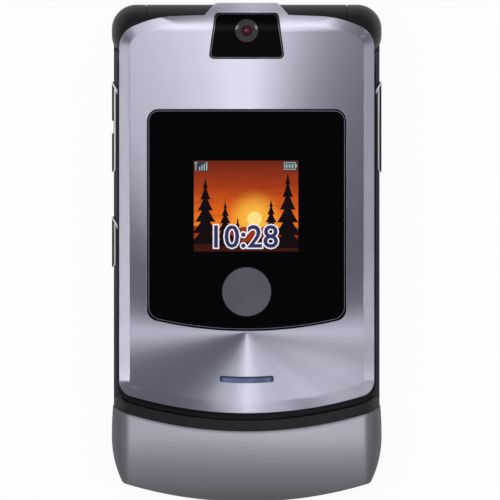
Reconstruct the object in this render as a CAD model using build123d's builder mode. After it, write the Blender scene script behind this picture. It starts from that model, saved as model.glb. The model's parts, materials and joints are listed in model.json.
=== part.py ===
from build123d import *
import math
import os

# Clamshell telephone with a metal lid, lying on its back.
# X runs across the phone, Y from the chin (-) to the hinge (+), Z from the back to the front.
# The origin is the middle of the footprint, on the plane that the back rests on. Millimetres.

# ---- Whole phone ----
phone_length = 98.0
phone_thickness = 13.9
chin_width = 53.0           # over the chin and over the hinge knuckles
flank_step = 0.4            # flanks of the base stand back from chin and knuckles
base_thickness = 7.6        # back of the battery cover to the key sheet
lid_gap = 0.3               # air between key sheet and closed lid
arc_radius = 79.0           # every cross edge at the chin end is bowed to this radius
wall = 1.2                  # moulded walls
fit = 0.1                   # clearance of a piece that is glued or clipped in
slide_fit = 0.12            # clearance round a key or button

# ---- Lid ----
lid_inset = 1.1             # flanks of the metal skin stand back from the base
lid_lip = 0.35              # black frame standing out past the metal skin at the flanks
lid_foot_lip = 1.1          # black frame standing out past the skin at the foot
chin_length = 17.5          # foot of the metal skin to the end of the chin
lid_corner_drop = 5.8       # end of the phone to where flank and shoulder lines meet
lid_shoulder_drop = 2.8
lid_shoulder_inset = 7.1
lid_crown_drop = 2.1
lid_corner_radius = 4.4
lid_shoulder_radius = 20.0
lid_foot_corner = 3.2
plate_thickness = 0.7
bevel_width = 2.1
bevel_drop = 0.6
flange_thickness = 0.9
flange_depth = 3.0
flange_stop = 6.8           # side flange of the skin ends this far before the hinge axis
bezel_thickness = 0.95
lid_wall = 3.6              # flank of the lid to the hollow for displays and board
lid_foot_wall = 4.5
pocket_drop = 1.6           # hollow ends this far before the end of the side flange
pocket_roof = 0.7
pocket_corner = 1.5
tab_reach = 5.7             # hinge axis to the end of the camera tab
tab_top_half = 6.1
tab_foot_half = 8.1
tab_top_radius = 1.3
tab_shoulder = 0.15         # slope of the tab starts this far under the crown

# ---- Hinge ----
hinge_radius = 5.4
roll_gap = 0.5              # knuckle to the inside of the rolled skin
seam_x = 19.7               # seam between centre barrel and end knuckle
seam_gap = 0.2
knuckle_round = 4.8
hinge_clear = 0.3           # barrel to the seat in the base
seat_reach = 4.0            # hinge axis to the hinge end of the base between the knuckles
pin_radius = 1.0
pin_fit = 0.06
bore_radius = 3.2
bearing_low = 8.0           # the camera's side of each bearing wall in the barrel
bearing_high = 9.5
follower_length = 2.4
cam_depth = 4.0
spring_radius = 2.3
spring_wire = 0.22
spring_turns = 7
collar_radius = 2.8
collar_width = 0.6
pin_seat = 1.2              # depth of the pin in the blind hole behind the cam
ribbon_width = 2.0
ribbon_thickness = 0.15
ribbon_lift = 0.12          # ribbon above the board
ribbon_slot = 0.2           # room round the ribbon in the frame
coil_radius = 2.3
coil_thickness = 0.25

# ---- Windows and marks of the lid ----
window_inset = 5.55         # flank of the skin to the window
window_drop = 21.0          # end of the phone to the window
window_rise = 16.2          # foot of the skin to the window
window_corner = 2.2
window_thickness = 0.75
window_sunk = 0.05
camera_drop = 5.5           # end of the phone to the centre of the lens
camera_window_drop = 2.0
camera_window_length = 9.0
camera_window_top_half = 6.15
camera_window_foot_half = 7.4
camera_window_corner = 0.9
camera_window_thickness = 0.56
camera_sunk = 0.04
camera_ring_radius = 2.25
camera_size = 6.6
camera_corner = 0.4
camera_height = 3.4
camera_lift = 1.0           # hinge axis to the camera's seat
lens_depth = 0.95           # face of the skin to the foot of the lens
lens_sunk = 0.12
lens_rim = 0.5
lens_step = 0.57            # face of the skin to the floor inside the lens ring
lens_dome_radius = 1.1
lens_dome_depth = 1.35
badge_rise = 7.6            # foot of the window to the centre of the badge
badge_radius = 4.84
badge_depth = 0.35
badge_proud = 0.02
badge_chamfer = 0.1
pipe_rise = 6.5             # foot of the skin to the light slot
pipe_length = 10.5
pipe_width = 1.15
pipe_bow = 55.0             # radius of the slot's long edges
pipe_corner = 0.4
pipe_height = 1.92
pipe_sunk = 0.08
outer_screen_x = -0.12
outer_screen_width = 24.0
outer_screen_drop = 7.9     # top of the window to the outer screen
outer_screen_gap = 0.96     # outer screen to the badge
outer_screen_corner = 0.6
main_screen_side = 1.4      # side of the hollow to the main screen
main_screen_rise = 6.0      # foot of the hollow to the main screen
main_screen_border = 2.0
main_screen_corner = 1.0
display_thickness = 1.2
main_window_thickness = 0.55
main_window_sunk = 0.05
earpiece_length = 11.0
earpiece_width = 4.6
earpiece_gap = 0.7          # earpiece to the main screen
earpiece_drop = 0.6         # top of the hollow to the earpiece
earpiece_rim = 0.8
ear_slot_length = 8.0
ear_slot_width = 0.6
ear_slot_pitch = 1.1
ear_slot_count = 3
lid_screw_inset = 1.7       # flank of the skin to the lid's screws
lid_screw_rise = 8.0
lid_screw_drop = 5.0
lid_screw_shank = 0.55
lid_screw_head = 1.0
lid_screw_sunk = 0.1
lid_screw_head_height = 0.45
lid_screw_length = 2.2
lid_screw_socket = 0.4
lid_screw_depth = 1.6       # hole in the black frame
bumper_inset = 1.6
bumper_length = 5.0
bumper_width = 1.6
bumper_height = 0.6
bumper_corner = 0.5
bumper_clear = 0.08         # bumper to the face that it lands on
bumper_rise = 21.5          # foot of the skin to the lower bumpers
bumper_drop = 22.5          # end of the side flange to the upper bumpers
lid_board_thickness = 0.6
lid_board_edge = 0.4
chip_length = 6.0
chip_width = 5.0
chip_height = 0.6
chip_side = 5.9             # side of the hollow to the chips
chip_rise = 13.0
chip_drop = 10.9
led_length = 3.0
led_width = 1.0
led_height = 0.2

# ---- Base ----
cover_inset = 3.3           # flank of the base to the battery cover
cover_thickness = 0.5
cover_gap = 0.25            # cover to the recess that it lies in
cover_corner = 3.0
cover_rise = 3.5            # foot of the skin to the battery cover
cover_drop = 7.3            # hinge end of the base to the battery cover
rail_inset = 0.6
rail_width = 0.7
rail_depth = 0.5
rail_rise = 4.0             # foot of the cover to the rails
rail_drop = 8.0
floor_thickness = 0.8
frame_flange = 1.25         # top wall of the metal frame
back_round = 2.4
battery_inset = 9.1         # flank of the base to the battery
battery_rise = 6.0          # foot of the cover to the battery
battery_drop = 10.0
battery_corner = 1.5
bay_wall = 0.8
bay_roof = 0.4
bay_head = 0.15             # air above the battery
bay_to_board = 0.2
board_thickness = 0.8
board_inset = 2.6
board_margin = 1.0
tongue_half = 19.0          # narrow end of the board in the chin
tongue_end = 4.6            # end of the chin to the tongue
screw_inset = 5.9
screw_rise = 1.8
screw_drop = 2.4
screw_head = 1.2
screw_head_height = 0.9
screw_shank = 0.55
screw_sunk = 0.2
screw_socket = 0.6
screw_socket_depth = 0.5
screw_grip = 1.5            # thread in the metal frame
boss_radius = 1.9
boss_clear = 0.3
boss_reach = 3.7            # screw to the end of the web under the frame's top wall
latch_drop = 4.0            # end of the cover to the latch
latch_length = 9.0
latch_width = 4.0
latch_rim = 0.5
latch_rim_height = 0.4
port_rise = 13.5            # foot of the skin to the socket
port_half = 3.9
port_shell = 0.4
port_lift = 0.15
port_depth = 7.6
port_tongue_half = 2.6
port_tongue_height = 0.6
speaker_end = 9.0           # end of the chin to the loudspeaker
speaker_length = 16.0
speaker_width = 7.6
speaker_rim = 1.0
speaker_sink = 0.3
speaker_hollow = 0.4
speaker_slot_length = 5.0
speaker_slot_width = 0.9
speaker_slot_pitch = 2.2
speaker_slot_count = 6
microphone_x = 9.0
microphone_drop = 2.3       # foot of the key sheet to the microphone
microphone_radius = 1.6
microphone_roof = 0.4       # metal left over the microphone
microphone_hole = 0.5
antenna_end = 5.8           # end of the chin to the antenna
antenna_length = 36.0
antenna_width = 4.4
antenna_height = 2.7
antenna_foil = 0.2
antenna_foil_width = 2.4
antenna_foil_inset = 1.0
antenna_slot_length = 3.0
antenna_slot_width = 1.2
antenna_slot_pitch = 7.0
antenna_slot_count = 4

# ---- Chin ----
crest_reach = 13.0          # end of the chin to where its front starts to fall away
chin_front_radius = 15.0
chin_back_radius = 5.0
chin_facet_inset = 3.2
chin_facet_drop = 0.5
chin_facet_bulge = 0.5
chin_side_drop = 5.4        # front of the phone to the widest line of the chin
chin_edge_round = 3.6
chin_side_radius = 20.5
chin_corner_inset = 2.2
chin_corner_round = 1.0
chin_waist_rise = 7.5       # widest line of the chin to where it is as narrow as the base
chin_part_rise = 1.6        # parting line under the front of the base
chin_wall = 1.0
chin_start = 6.0            # chin shell reaches this far past the crest
trim_gap = 0.4
trim_width = 2.0
trim_drop = 0.3
trim_start = 7.5
trim_side_fit = 0.12
trim_seam_inset = 4.8       # flank of the chin to the seam across the trim
trim_seam_width = 0.16
trim_seam_depth = 0.3

# ---- Keys ----
web_inset = 4.1             # flank of the base to the key sheet
web_drop = 3.0              # barrel seat to the key sheet
web_rise = 1.6              # foot of the skin to the key sheet
web_thickness = 0.6
web_corner = 3.0
web_ledge = 0.5
key_proud = 0.06
key_foot = 0.5              # underside of the sheet to the underside of a key
key_flange = 0.2
key_flange_gap = 0.15
key_edge_round = 0.12
key_corner = 1.2
dome_room = 0.5             # board to the underside of a key
dome_sheet_thickness = 0.13
dome_radius = 1.5
dome_height = 0.07
dome_lift = 0.02
dome_side = 1.6             # edge of the key sheet to the dome sheet
dome_drop = 1.5
dome_rise = 3.5
key_margin = 1.15           # side of the sheet to the digit keys
side_key_margin = 1.2
digit_gap_x = 0.7
digit_gap_y = 0.6
digit_rise = 2.2            # foot of the sheet to the lowest digit keys
digit_drop = 0.5            # clear key to the digit keys
digit_bow = 1.2             # outer columns stand higher, along the bowed chin
bar_key_height = 4.2
menu_key_drop = 0.9
ring_radius = 9.0
ring_bore = 3.95
ring_top_gap = 1.0
ring_foot_gap = 1.5
ring_side_gap = 2.2
ring_edge_round = 0.2
ring_lift = 0.64            # board to the navigation ring
actuator_lift = 0.36
actuator_width = 0.85
actuator_thickness = 0.12
select_radius = 3.7
select_edge_round = 0.15
soft_key_drop = 6.2
soft_key_height = 12.8
call_key_gap = 0.6
call_key_rise = 1.4         # foot of the clear key to the foot of the send and end keys
key_travel = 0.25

# ---- Side buttons ----
side_proud = 0.4
side_drop = 2.8             # front of the base to the foot of a button
side_height = 1.8
side_neck_height = 1.3      # the part of a button that passes under the frame's top wall
side_neck_depth = 0.35
side_neck_margin = 1.0
side_part = 0.4             # foot of a button to the parting line of the base
rocker_drop = 9.5           # hinge axis to the rocker
rocker_length = 18.3
smart_gap = 8.15
smart_length = 10.5
side_flange = 0.45
side_flange_gap = 0.25
side_flange_rim = 0.4
side_flange_drop = 0.3
side_bury = 0.15            # how far a button's foot stands inside the wall
side_round = 0.4
side_notch_length = 2.6
side_notch_width = 0.7
rocker_foot_half = 1.0
scoop_slant = 2.0           # slope of the ends of the scoop over a button

# ---- Places that follow from the sizes above ----
half_length = phone_length / 2
hinge_width = chin_width
base_width = chin_width - 2 * flank_step
base_half = base_width / 2
lid_half = base_half - lid_inset
lid_low_z = base_thickness + lid_gap
lid_top_z = phone_thickness
roll_radius = hinge_radius + roll_gap + plate_thickness
hinge_y = half_length - tab_reach
hinge_z = lid_top_z - roll_radius
barrel_half = seam_x - seam_gap / 2
knuckle_x = seam_x + seam_gap / 2
block_end_y = hinge_y - hinge_radius - hinge_clear
tab_seat_radius = roll_radius + hinge_clear
seat_end_y = hinge_y - seat_reach
skin_low_z = lid_top_z - plate_thickness
flange_low_z = lid_top_z - flange_depth
flange_end_y = hinge_y - flange_stop
frame_top_z = skin_low_z - fit / 2
pocket_top_z = frame_top_z - pocket_roof
bezel_top_z = lid_low_z + bezel_thickness
lid_frame_low_z = bezel_top_z + fit / 2
far = 2 * phone_length      # longer than anything in the model

lid_foot_y = chin_length - half_length
frame_foot_y = lid_foot_y - lid_foot_lip
chin_trim_foot_y = frame_foot_y - trim_gap - trim_width
lid_shoulder_x = lid_half - lid_shoulder_inset
lid_corner_y = half_length - lid_corner_drop
lid_shoulder_y = half_length - lid_shoulder_drop
lid_crown_y = half_length - lid_crown_drop
pocket_foot_y = lid_foot_y + lid_foot_wall
pocket_top_y = flange_end_y - pocket_drop
pocket_half = lid_half - lid_wall
lid_screw_places = [
    (x, y)
    for x in (lid_screw_inset - lid_half, lid_half - lid_screw_inset)
    for y in (lid_foot_y + lid_screw_rise, flange_end_y - lid_screw_drop)
]
bumper_places = [
    (x, y)
    for x in (bumper_inset - lid_half, lid_half - bumper_inset)
    for y in (lid_foot_y + bumper_rise, flange_end_y - bumper_drop)
]

window_half = lid_half - window_inset
window_top_y = half_length - window_drop
window_foot_y = lid_foot_y + window_rise
window_top_z = lid_top_z - window_sunk
window_low_z = window_top_z - window_thickness
badge_y = window_foot_y + badge_rise
pipe_y = lid_foot_y + pipe_rise
outer_screen_top_y = window_top_y - outer_screen_drop
outer_screen_foot_y = badge_y + badge_radius + outer_screen_gap
outer_screen_height = outer_screen_top_y - outer_screen_foot_y
outer_screen_y = (outer_screen_top_y + outer_screen_foot_y) / 2
camera_y = half_length - camera_drop
camera_window_top_y = half_length - camera_window_drop
camera_window_foot_y = camera_window_top_y - camera_window_length
earpiece_y = pocket_top_y - earpiece_drop - earpiece_width / 2
main_screen_top_y = earpiece_y - earpiece_width / 2 - earpiece_gap
main_screen_foot_y = pocket_foot_y + main_screen_rise
main_screen_height = main_screen_top_y - main_screen_foot_y
main_screen_y = (main_screen_top_y + main_screen_foot_y) / 2
main_screen_width = 2 * (pocket_half - main_screen_side)
main_display_z = bezel_top_z + fit
lid_board_z = main_display_z + display_thickness + fit

web_low_z = base_thickness - web_thickness
ledge_z = web_low_z - fit / 2
flange_z = base_thickness - frame_flange
key_low_z = web_low_z - key_foot
key_top_z = base_thickness + key_proud
board_top_z = key_low_z - dome_room
board_low_z = board_top_z - board_thickness
side_low_z = base_thickness - side_drop
frame_low_z = side_low_z - side_part
housing_z = cover_thickness + cover_gap
floor_z = housing_z + floor_thickness
bay_top_z = board_low_z - bay_to_board
bay_ceiling_z = bay_top_z - bay_roof
battery_thickness = bay_ceiling_z - bay_head - housing_z
chin_part_z = base_thickness - chin_part_rise
boss_top_z = key_low_z - key_travel - slide_fit

web_half = base_half - web_inset
web_top_y = block_end_y - web_drop
web_foot_y = lid_foot_y + web_rise
board_half = base_half - board_inset
cover_half = base_half - cover_inset
cover_foot_y = lid_foot_y + cover_rise
cover_top_y = seat_end_y - cover_drop
rail_x = cover_half - rail_inset
battery_half = base_half - battery_inset
battery_foot_y = cover_foot_y + battery_rise
battery_top_y = cover_top_y - battery_drop
latch_y = cover_top_y - latch_drop
screw_x = base_half - screw_inset
screw_ys = (cover_foot_y + screw_rise, cover_top_y - screw_drop)
screw_places = [(x, y) for x in (-screw_x, screw_x) for y in screw_ys]
port_y = lid_foot_y + port_rise
port_low_z = floor_z + port_lift
port_high_z = board_low_z - fit / 2
speaker_y = speaker_end - half_length
microphone_y = web_foot_y - microphone_drop
antenna_y = antenna_end - half_length

chin_half = chin_width / 2
crest_y = crest_reach - half_length
chin_side_y = crest_y
chin_facet_x = chin_half - chin_facet_inset
chin_corner_x = chin_half - chin_corner_inset
chin_side_z = phone_thickness - chin_side_drop

digit_pitch_x = 2 * (web_half - key_margin) / 3
digit_width = digit_pitch_x - digit_gap_x
menu_key_y = web_top_y - menu_key_drop - bar_key_height / 2
ring_y = menu_key_y - bar_key_height / 2 - ring_top_gap - ring_radius
clear_key_y = ring_y - ring_radius - ring_foot_gap - bar_key_height / 2
clear_key_foot_y = clear_key_y - bar_key_height / 2
digit_pitch_y = (clear_key_foot_y - digit_drop - web_foot_y - digit_rise) / 4
digit_height = digit_pitch_y - digit_gap_y
digit_top_y = clear_key_foot_y - digit_drop - digit_pitch_y / 2
side_key_inner_x = ring_radius + ring_side_gap
side_key_outer_x = web_half - side_key_margin
side_key_x = (side_key_inner_x + side_key_outer_x) / 2
side_key_width = side_key_outer_x - side_key_inner_x
soft_key_y = web_top_y - soft_key_drop - soft_key_height / 2
call_key_top_y = soft_key_y - soft_key_height / 2 - call_key_gap
call_key_foot_y = clear_key_foot_y + call_key_rise
call_key_height = call_key_top_y - call_key_foot_y
call_key_y = (call_key_top_y + call_key_foot_y) / 2

rocker_top_y = hinge_y - rocker_drop
rocker_foot_y = rocker_top_y - rocker_length
smart_top_y = rocker_foot_y - smart_gap
smart_foot_y = smart_top_y - smart_length

os.makedirs("parts", exist_ok=True)


def write(builder, name):
    """Label a finished piece and write it as a STEP file."""
    builder.part.label = name
    export_step(builder.part, f"parts/{name}.step")


def slab(x_low, x_high, y_low, y_high, z_low, z_high):
    """A plain block between the given limits."""
    middle = ((x_low + x_high) / 2, (y_low + y_high) / 2, (z_low + z_high) / 2)
    with BuildPart() as block:
        with Locations(middle):
            Box(x_high - x_low, y_high - y_low, z_high - z_low)
    return block.part


def hinge_rod(radius, x_low, x_high):
    """A round bar on the hinge axis."""
    with BuildPart() as rod:
        with BuildSketch(Plane.YZ.offset(x_low)):
            with Locations((hinge_y, hinge_z)):
                Circle(radius)
        extrude(amount=x_high - x_low)
    return rod.part


def prism(plan, z_low, z_high):
    """A plan raised between two heights."""
    with BuildPart() as body:
        with BuildSketch(Plane.XY.offset(z_low)):
            add(plan)
        extrude(amount=z_high - z_low)
    return body.part


# ---- Plans that several pieces share ----
def lid_plan(side_grow=0.0, foot_grow=0.0, tab=False):
    """Outline of the lid, its flanks and its foot moved out by the given amounts."""
    half = lid_half + side_grow
    foot = lid_foot_y - foot_grow
    corner, shoulder = lid_corner_radius, lid_shoulder_radius
    with BuildSketch() as plan:
        with BuildLine():
            FilletPolyline(
                (-half, foot),
                (half, foot),
                (half, lid_corner_y),
                (lid_shoulder_x, lid_shoulder_y),
                (0, lid_crown_y),
                (-lid_shoulder_x, lid_shoulder_y),
                (-half, lid_corner_y),
                radius=(0, 0, corner, shoulder, 0, shoulder, corner),
                close=True,
            )
        make_face()
        with Locations((0, foot + arc_radius)):
            Circle(arc_radius, mode=Mode.INTERSECT)
        fillet(plan.vertices().filter_by(lambda v: v.Y < 0), lid_foot_corner + side_grow)
        if tab:
            with BuildLine():
                Polyline(
                    (-tab_foot_half, camera_window_foot_y),
                    (tab_foot_half, camera_window_foot_y),
                    (tab_foot_half, lid_crown_y - tab_shoulder),
                    (tab_top_half, half_length),
                    (-tab_top_half, half_length),
                    (-tab_foot_half, lid_crown_y - tab_shoulder),
                    close=True,
                )
            make_face()
            fillet(plan.vertices().group_by(Axis.Y)[-1], tab_top_radius)
    return plan.sketch


def window_plan(grow=0.0):
    """Outline of the outer window."""
    with BuildSketch() as plan:
        with Locations((0, window_top_y)):
            Rectangle(2 * window_half, window_top_y - window_foot_y, align=(Align.CENTER, Align.MAX))
        with Locations((0, window_foot_y + arc_radius)):
            Circle(arc_radius, mode=Mode.INTERSECT)
        fillet(plan.vertices(), window_corner)
        if grow:
            offset(amount=grow)
    return plan.sketch


def camera_plan(grow=0.0):
    """Outline of the tapered window over the camera."""
    with BuildSketch() as plan:
        with BuildLine():
            Polyline(
                (-camera_window_foot_half, camera_window_foot_y),
                (camera_window_foot_half, camera_window_foot_y),
                (camera_window_top_half, camera_window_top_y),
                (-camera_window_top_half, camera_window_top_y),
                close=True,
            )
        make_face()
        fillet(plan.vertices(), camera_window_corner)
        if grow:
            offset(amount=grow)
    return plan.sketch


def pipe_plan(grow=0.0):
    """Outline of the lit slot in the lid, bowed like the foot of the skin."""
    pipe_foot_y = pipe_y - pipe_width / 2
    with BuildSketch() as plan:
        with Locations((0, pipe_foot_y)):
            Rectangle(pipe_length, 2 * pipe_width, align=(Align.CENTER, Align.MIN))
        with Locations((0, pipe_foot_y + pipe_bow)):
            Circle(pipe_bow, mode=Mode.INTERSECT)
            Circle(pipe_bow - pipe_width, mode=Mode.SUBTRACT)
        fillet(plan.vertices(), pipe_corner)
        if grow:
            offset(amount=grow)
    return plan.sketch


def chin_plan():
    """Outline of the phone's chin: widest at its side line, as narrow as the base at the waist."""
    half = chin_width / 2
    waist_y = chin_side_y + chin_waist_rise
    waist_radius = (chin_waist_rise**2 + flank_step**2) / (2 * flank_step)
    waist_angle = math.asin(chin_waist_rise / waist_radius) / 2
    waist_x = half - waist_radius * (1 - math.cos(waist_angle))
    waist_middle_y = chin_side_y + waist_radius * math.sin(waist_angle)
    centre_x = half - chin_side_radius
    sweep_angle = math.acos((chin_corner_x - centre_x) / chin_side_radius)
    corner_y = chin_side_y - chin_side_radius * math.sin(sweep_angle)
    middle_x = centre_x + chin_side_radius * math.cos(sweep_angle / 2)
    middle_y = chin_side_y - chin_side_radius * math.sin(sweep_angle / 2)
    with BuildSketch() as plan:
        with BuildLine():
            ThreePointArc((base_half, waist_y), (waist_x, waist_middle_y), (half, chin_side_y))
            ThreePointArc((half, chin_side_y), (middle_x, middle_y), (chin_corner_x, corner_y))
            ThreePointArc((chin_corner_x, corner_y), (0, -half_length), (-chin_corner_x, corner_y))
            ThreePointArc((-chin_corner_x, corner_y), (-middle_x, middle_y), (-half, chin_side_y))
            ThreePointArc((-half, chin_side_y), (-waist_x, waist_middle_y), (-base_half, waist_y))
            Polyline((-base_half, waist_y), (-base_half, 0), (base_half, 0), (base_half, waist_y))
        make_face()
        fillet(plan.vertices().group_by(Axis.Y)[0], chin_corner_round)
    return plan.sketch


def chin_side():
    """Side view of the chin's back and end in the YZ plane, open to the front."""
    with BuildSketch(Plane.YZ) as view:
        Rectangle(half_length, 2 * phone_thickness, align=(Align.MAX, Align.MIN))
        fillet(view.vertices().sort_by(lambda v: v.X + v.Y)[0], chin_back_radius)
    return view.sketch_local


def chin_flanks():
    """Cross-section of the chin's back and flanks in the XZ plane, open to the front."""
    with BuildSketch(Plane.XZ) as view:
        Rectangle(chin_width, 2 * phone_thickness, align=(Align.CENTER, Align.MIN))
        fillet(view.vertices().filter_by(lambda v: v.Y < chin_edge_round), chin_edge_round)
    return view.sketch_local


def chin_section(inset=0.0):
    """Cross-section of the chin's bowed front and its facets in the XZ plane, moved in by inset."""
    slope = math.atan2(chin_side_drop - chin_facet_drop, chin_facet_inset)
    half = chin_width / 2 - inset
    side_z = chin_side_z - inset * math.tan((math.pi / 2 - slope) / 2)
    facet_x = chin_facet_x - inset * math.tan(slope / 2)
    facet_z = phone_thickness - chin_facet_drop - inset
    bulge_x = (half + facet_x) / 2 + 2 * chin_facet_bulge * math.sin(slope)
    bulge_z = (side_z + facet_z) / 2 + 2 * chin_facet_bulge * math.cos(slope)
    crown_z = facet_z + 2 * chin_facet_drop
    with BuildSketch(Plane.XZ) as section:
        with BuildLine():
            Polyline((-half, side_z), (-half, inset), (half, inset), (half, side_z))
            Bezier((half, side_z), (bulge_x, bulge_z), (facet_x, facet_z))
            Bezier((facet_x, facet_z), (0, crown_z), (-facet_x, facet_z))
            Bezier((-facet_x, facet_z), (-bulge_x, bulge_z), (-half, side_z))
        make_face()
    return section.sketch_local


def chin_block(inset=0.0):
    """The full chin, or the space inside its shell for a positive inset."""
    front_axis = Axis((0, crest_y, phone_thickness - chin_front_radius), (1, 0, 0))
    with BuildSketch(Plane.XZ.offset(-crest_y)) as section:
        add(chin_section(inset))
    with BuildPart() as block:
        extrude(section.sketch, amount=crest_y)
        revolve(section.sketch, axis=front_axis, revolution_arc=90)
        with BuildSketch(Plane.YZ):
            add(chin_side())
            if inset:
                offset(amount=-inset)
        extrude(amount=chin_width, both=True, mode=Mode.INTERSECT)
        with BuildSketch(Plane.XZ):
            add(chin_flanks())
            if inset:
                offset(amount=-inset)
        extrude(amount=phone_length, both=True, mode=Mode.INTERSECT)
        with BuildSketch():
            add(chin_plan())
            if inset:
                offset(amount=-inset)
        extrude(amount=2 * phone_thickness, both=True, mode=Mode.INTERSECT)
    return block.part


def below_arc(y, z_low, z_high):
    """Everything on the chin side of a bowed edge whose lowest point is at y."""
    with BuildPart() as region:
        with BuildSketch(Plane.XY.offset(z_low)):
            with Locations((0, y)):
                Rectangle(far, far)
            with Locations((0, y + arc_radius)):
                Circle(arc_radius, mode=Mode.SUBTRACT)
            Rectangle(far, phone_length, align=(Align.CENTER, Align.MAX), mode=Mode.INTERSECT)
        extrude(amount=z_high - z_low)
    return region.part


def roll_section(depth):
    """Side view of everything under the lid's front skin, the skin sunk by depth."""
    with BuildSketch(Plane.YZ) as section:
        with Locations((hinge_y, lid_top_z - depth)):
            Rectangle(far, lid_top_z, align=(Align.MAX, Align.MAX))
        with Locations((hinge_y, hinge_z)):
            Circle(roll_radius - depth)
    return section.sketch_local


def under_skin(depth, plan, z_low, z_high):
    """A plan raised from z_low and trimmed by the rolled front of the lid, sunk by depth."""
    with BuildPart() as core:
        with BuildSketch(Plane.XY.offset(z_low)):
            add(plan)
        extrude(amount=z_high - z_low)
        with BuildSketch(Plane.YZ):
            add(roll_section(depth))
        extrude(amount=phone_length, both=True, mode=Mode.INTERSECT)
    return core.part


def rows(centre, pitch, count):
    """Evenly spaced places along one line."""
    return [centre + pitch * (i - (count - 1) / 2) for i in range(count)]


plate_plan = lid_plan(tab=True)
frame_plan = lid_plan(lid_lip, lid_foot_lip)
chin_full = chin_block()
chin_inside = chin_block(chin_wall)


# ---- Lid: metal skin ----
def bevelled_plan():
    """Block with the lid's outline whose top edge slopes in by the bevel."""
    angle = math.degrees(math.atan(bevel_width / bevel_drop))
    edge_z = lid_top_z - bevel_drop
    with BuildPart() as block:
        with BuildSketch(Plane.XY.offset(edge_z)):
            add(lid_plan())
        extrude(amount=bevel_drop, taper=angle)
        with BuildSketch():
            add(plate_plan)
        extrude(amount=edge_z)
        with BuildSketch(Plane.XY.offset(edge_z)):
            add(plate_plan)
            with Locations((0, camera_window_foot_y)):
                Rectangle(
                    2 * tab_foot_half,
                    far,
                    align=(Align.CENTER, Align.MIN),
                    mode=Mode.INTERSECT,
                )
        extrude(amount=bevel_drop)
    return block.part


def flange_space():
    """Plan of the hollow under the skin: inside the side flange, and all of the rolled end."""
    with BuildSketch() as plan:
        add(plate_plan)
        offset(amount=-flange_thickness)
        with Locations((0, flange_end_y)):
            Rectangle(far, far, align=(Align.CENTER, Align.MIN))
    return plan.sketch


with BuildPart() as lid_plate:
    add(under_skin(0, plate_plan, hinge_z, far))
    add(bevelled_plan(), mode=Mode.INTERSECT)
    add(under_skin(plate_thickness, flange_space(), 0, far), mode=Mode.SUBTRACT)
    add(slab(-far, far, -far, flange_end_y, 0, flange_low_z), mode=Mode.SUBTRACT)
    add(prism(window_plan(fit), 0, far), mode=Mode.SUBTRACT)
    add(prism(camera_plan(fit / 2), 0, far), mode=Mode.SUBTRACT)
    add(prism(pipe_plan(fit / 2), 0, far), mode=Mode.SUBTRACT)
write(lid_plate, "lid_plate")


# ---- Lid: black frame with the centre barrel ----
def inner_plan():
    """Outline of the frame where it stands inside the skin's flange."""
    with BuildSketch() as plan:
        add(plate_plan)
        offset(amount=-flange_thickness - fit)
    return plan.sketch


def saddle_plan():
    """Part of the lid outline that lies over the centre barrel."""
    with BuildSketch() as plan:
        add(plate_plan)
        offset(amount=-seam_gap - fit)
        with Locations((0, block_end_y)):
            Rectangle(
                2 * barrel_half,
                phone_length,
                align=(Align.CENTER, Align.MIN),
                mode=Mode.INTERSECT,
            )
    return plan.sketch


def pocket_plan():
    """Outline of the hollow that holds the displays and the board."""
    with BuildSketch() as plan:
        with Locations((0, pocket_top_y)):
            Rectangle(
                2 * pocket_half,
                pocket_top_y - pocket_foot_y,
                align=(Align.CENTER, Align.MAX),
            )
        with Locations((0, pocket_foot_y + arc_radius)):
            Circle(arc_radius, mode=Mode.INTERSECT)
        fillet(plan.vertices(), pocket_corner)
    return plan.sketch

with BuildPart() as lid_frame:
    add(prism(frame_plan, lid_frame_low_z, flange_low_z - fit / 2))
    add(under_skin(plate_thickness + fit / 2, inner_plan(), lid_frame_low_z, far))
    add(slab(-far, far, block_end_y, far, 0, far), mode=Mode.SUBTRACT)
    add(hinge_rod(hinge_radius, -barrel_half, barrel_half))
    add(under_skin(plate_thickness + fit / 2, saddle_plan(), lid_frame_low_z, far))
    add(prism(pocket_plan(), 0, pocket_top_z), mode=Mode.SUBTRACT)
    with BuildSketch(Plane.XY.offset(lid_low_z)):
        with Locations((outer_screen_x, outer_screen_y)):
            Rectangle(outer_screen_width + 2 * fit, outer_screen_height + 2 * fit)
    extrude(amount=far, mode=Mode.SUBTRACT)
    add(prism(pipe_plan(fit), lid_low_z, far), mode=Mode.SUBTRACT)
    add(prism(window_plan(2 * fit), window_low_z - fit, far), mode=Mode.SUBTRACT)
    with BuildSketch(Plane.XY.offset(hinge_z + camera_lift)):
        with Locations((0, camera_y)):
            Rectangle(camera_size + 2 * fit, camera_size + 2 * fit)
    extrude(amount=far, mode=Mode.SUBTRACT)
    for side in (-1, 1):
        bore = sorted((side * bearing_high, side * barrel_half))
        add(hinge_rod(bore_radius, *bore), mode=Mode.SUBTRACT)
        journal = sorted((side * bearing_low, side * barrel_half))
        add(hinge_rod(pin_radius + pin_fit, *journal), mode=Mode.SUBTRACT)
    with BuildSketch(Plane.XY.offset(lid_frame_low_z)):
        with Locations(*lid_screw_places):
            Circle(lid_screw_shank + fit / 2)
    extrude(amount=lid_screw_depth, mode=Mode.SUBTRACT)
write(lid_frame, "lid_frame")

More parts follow.
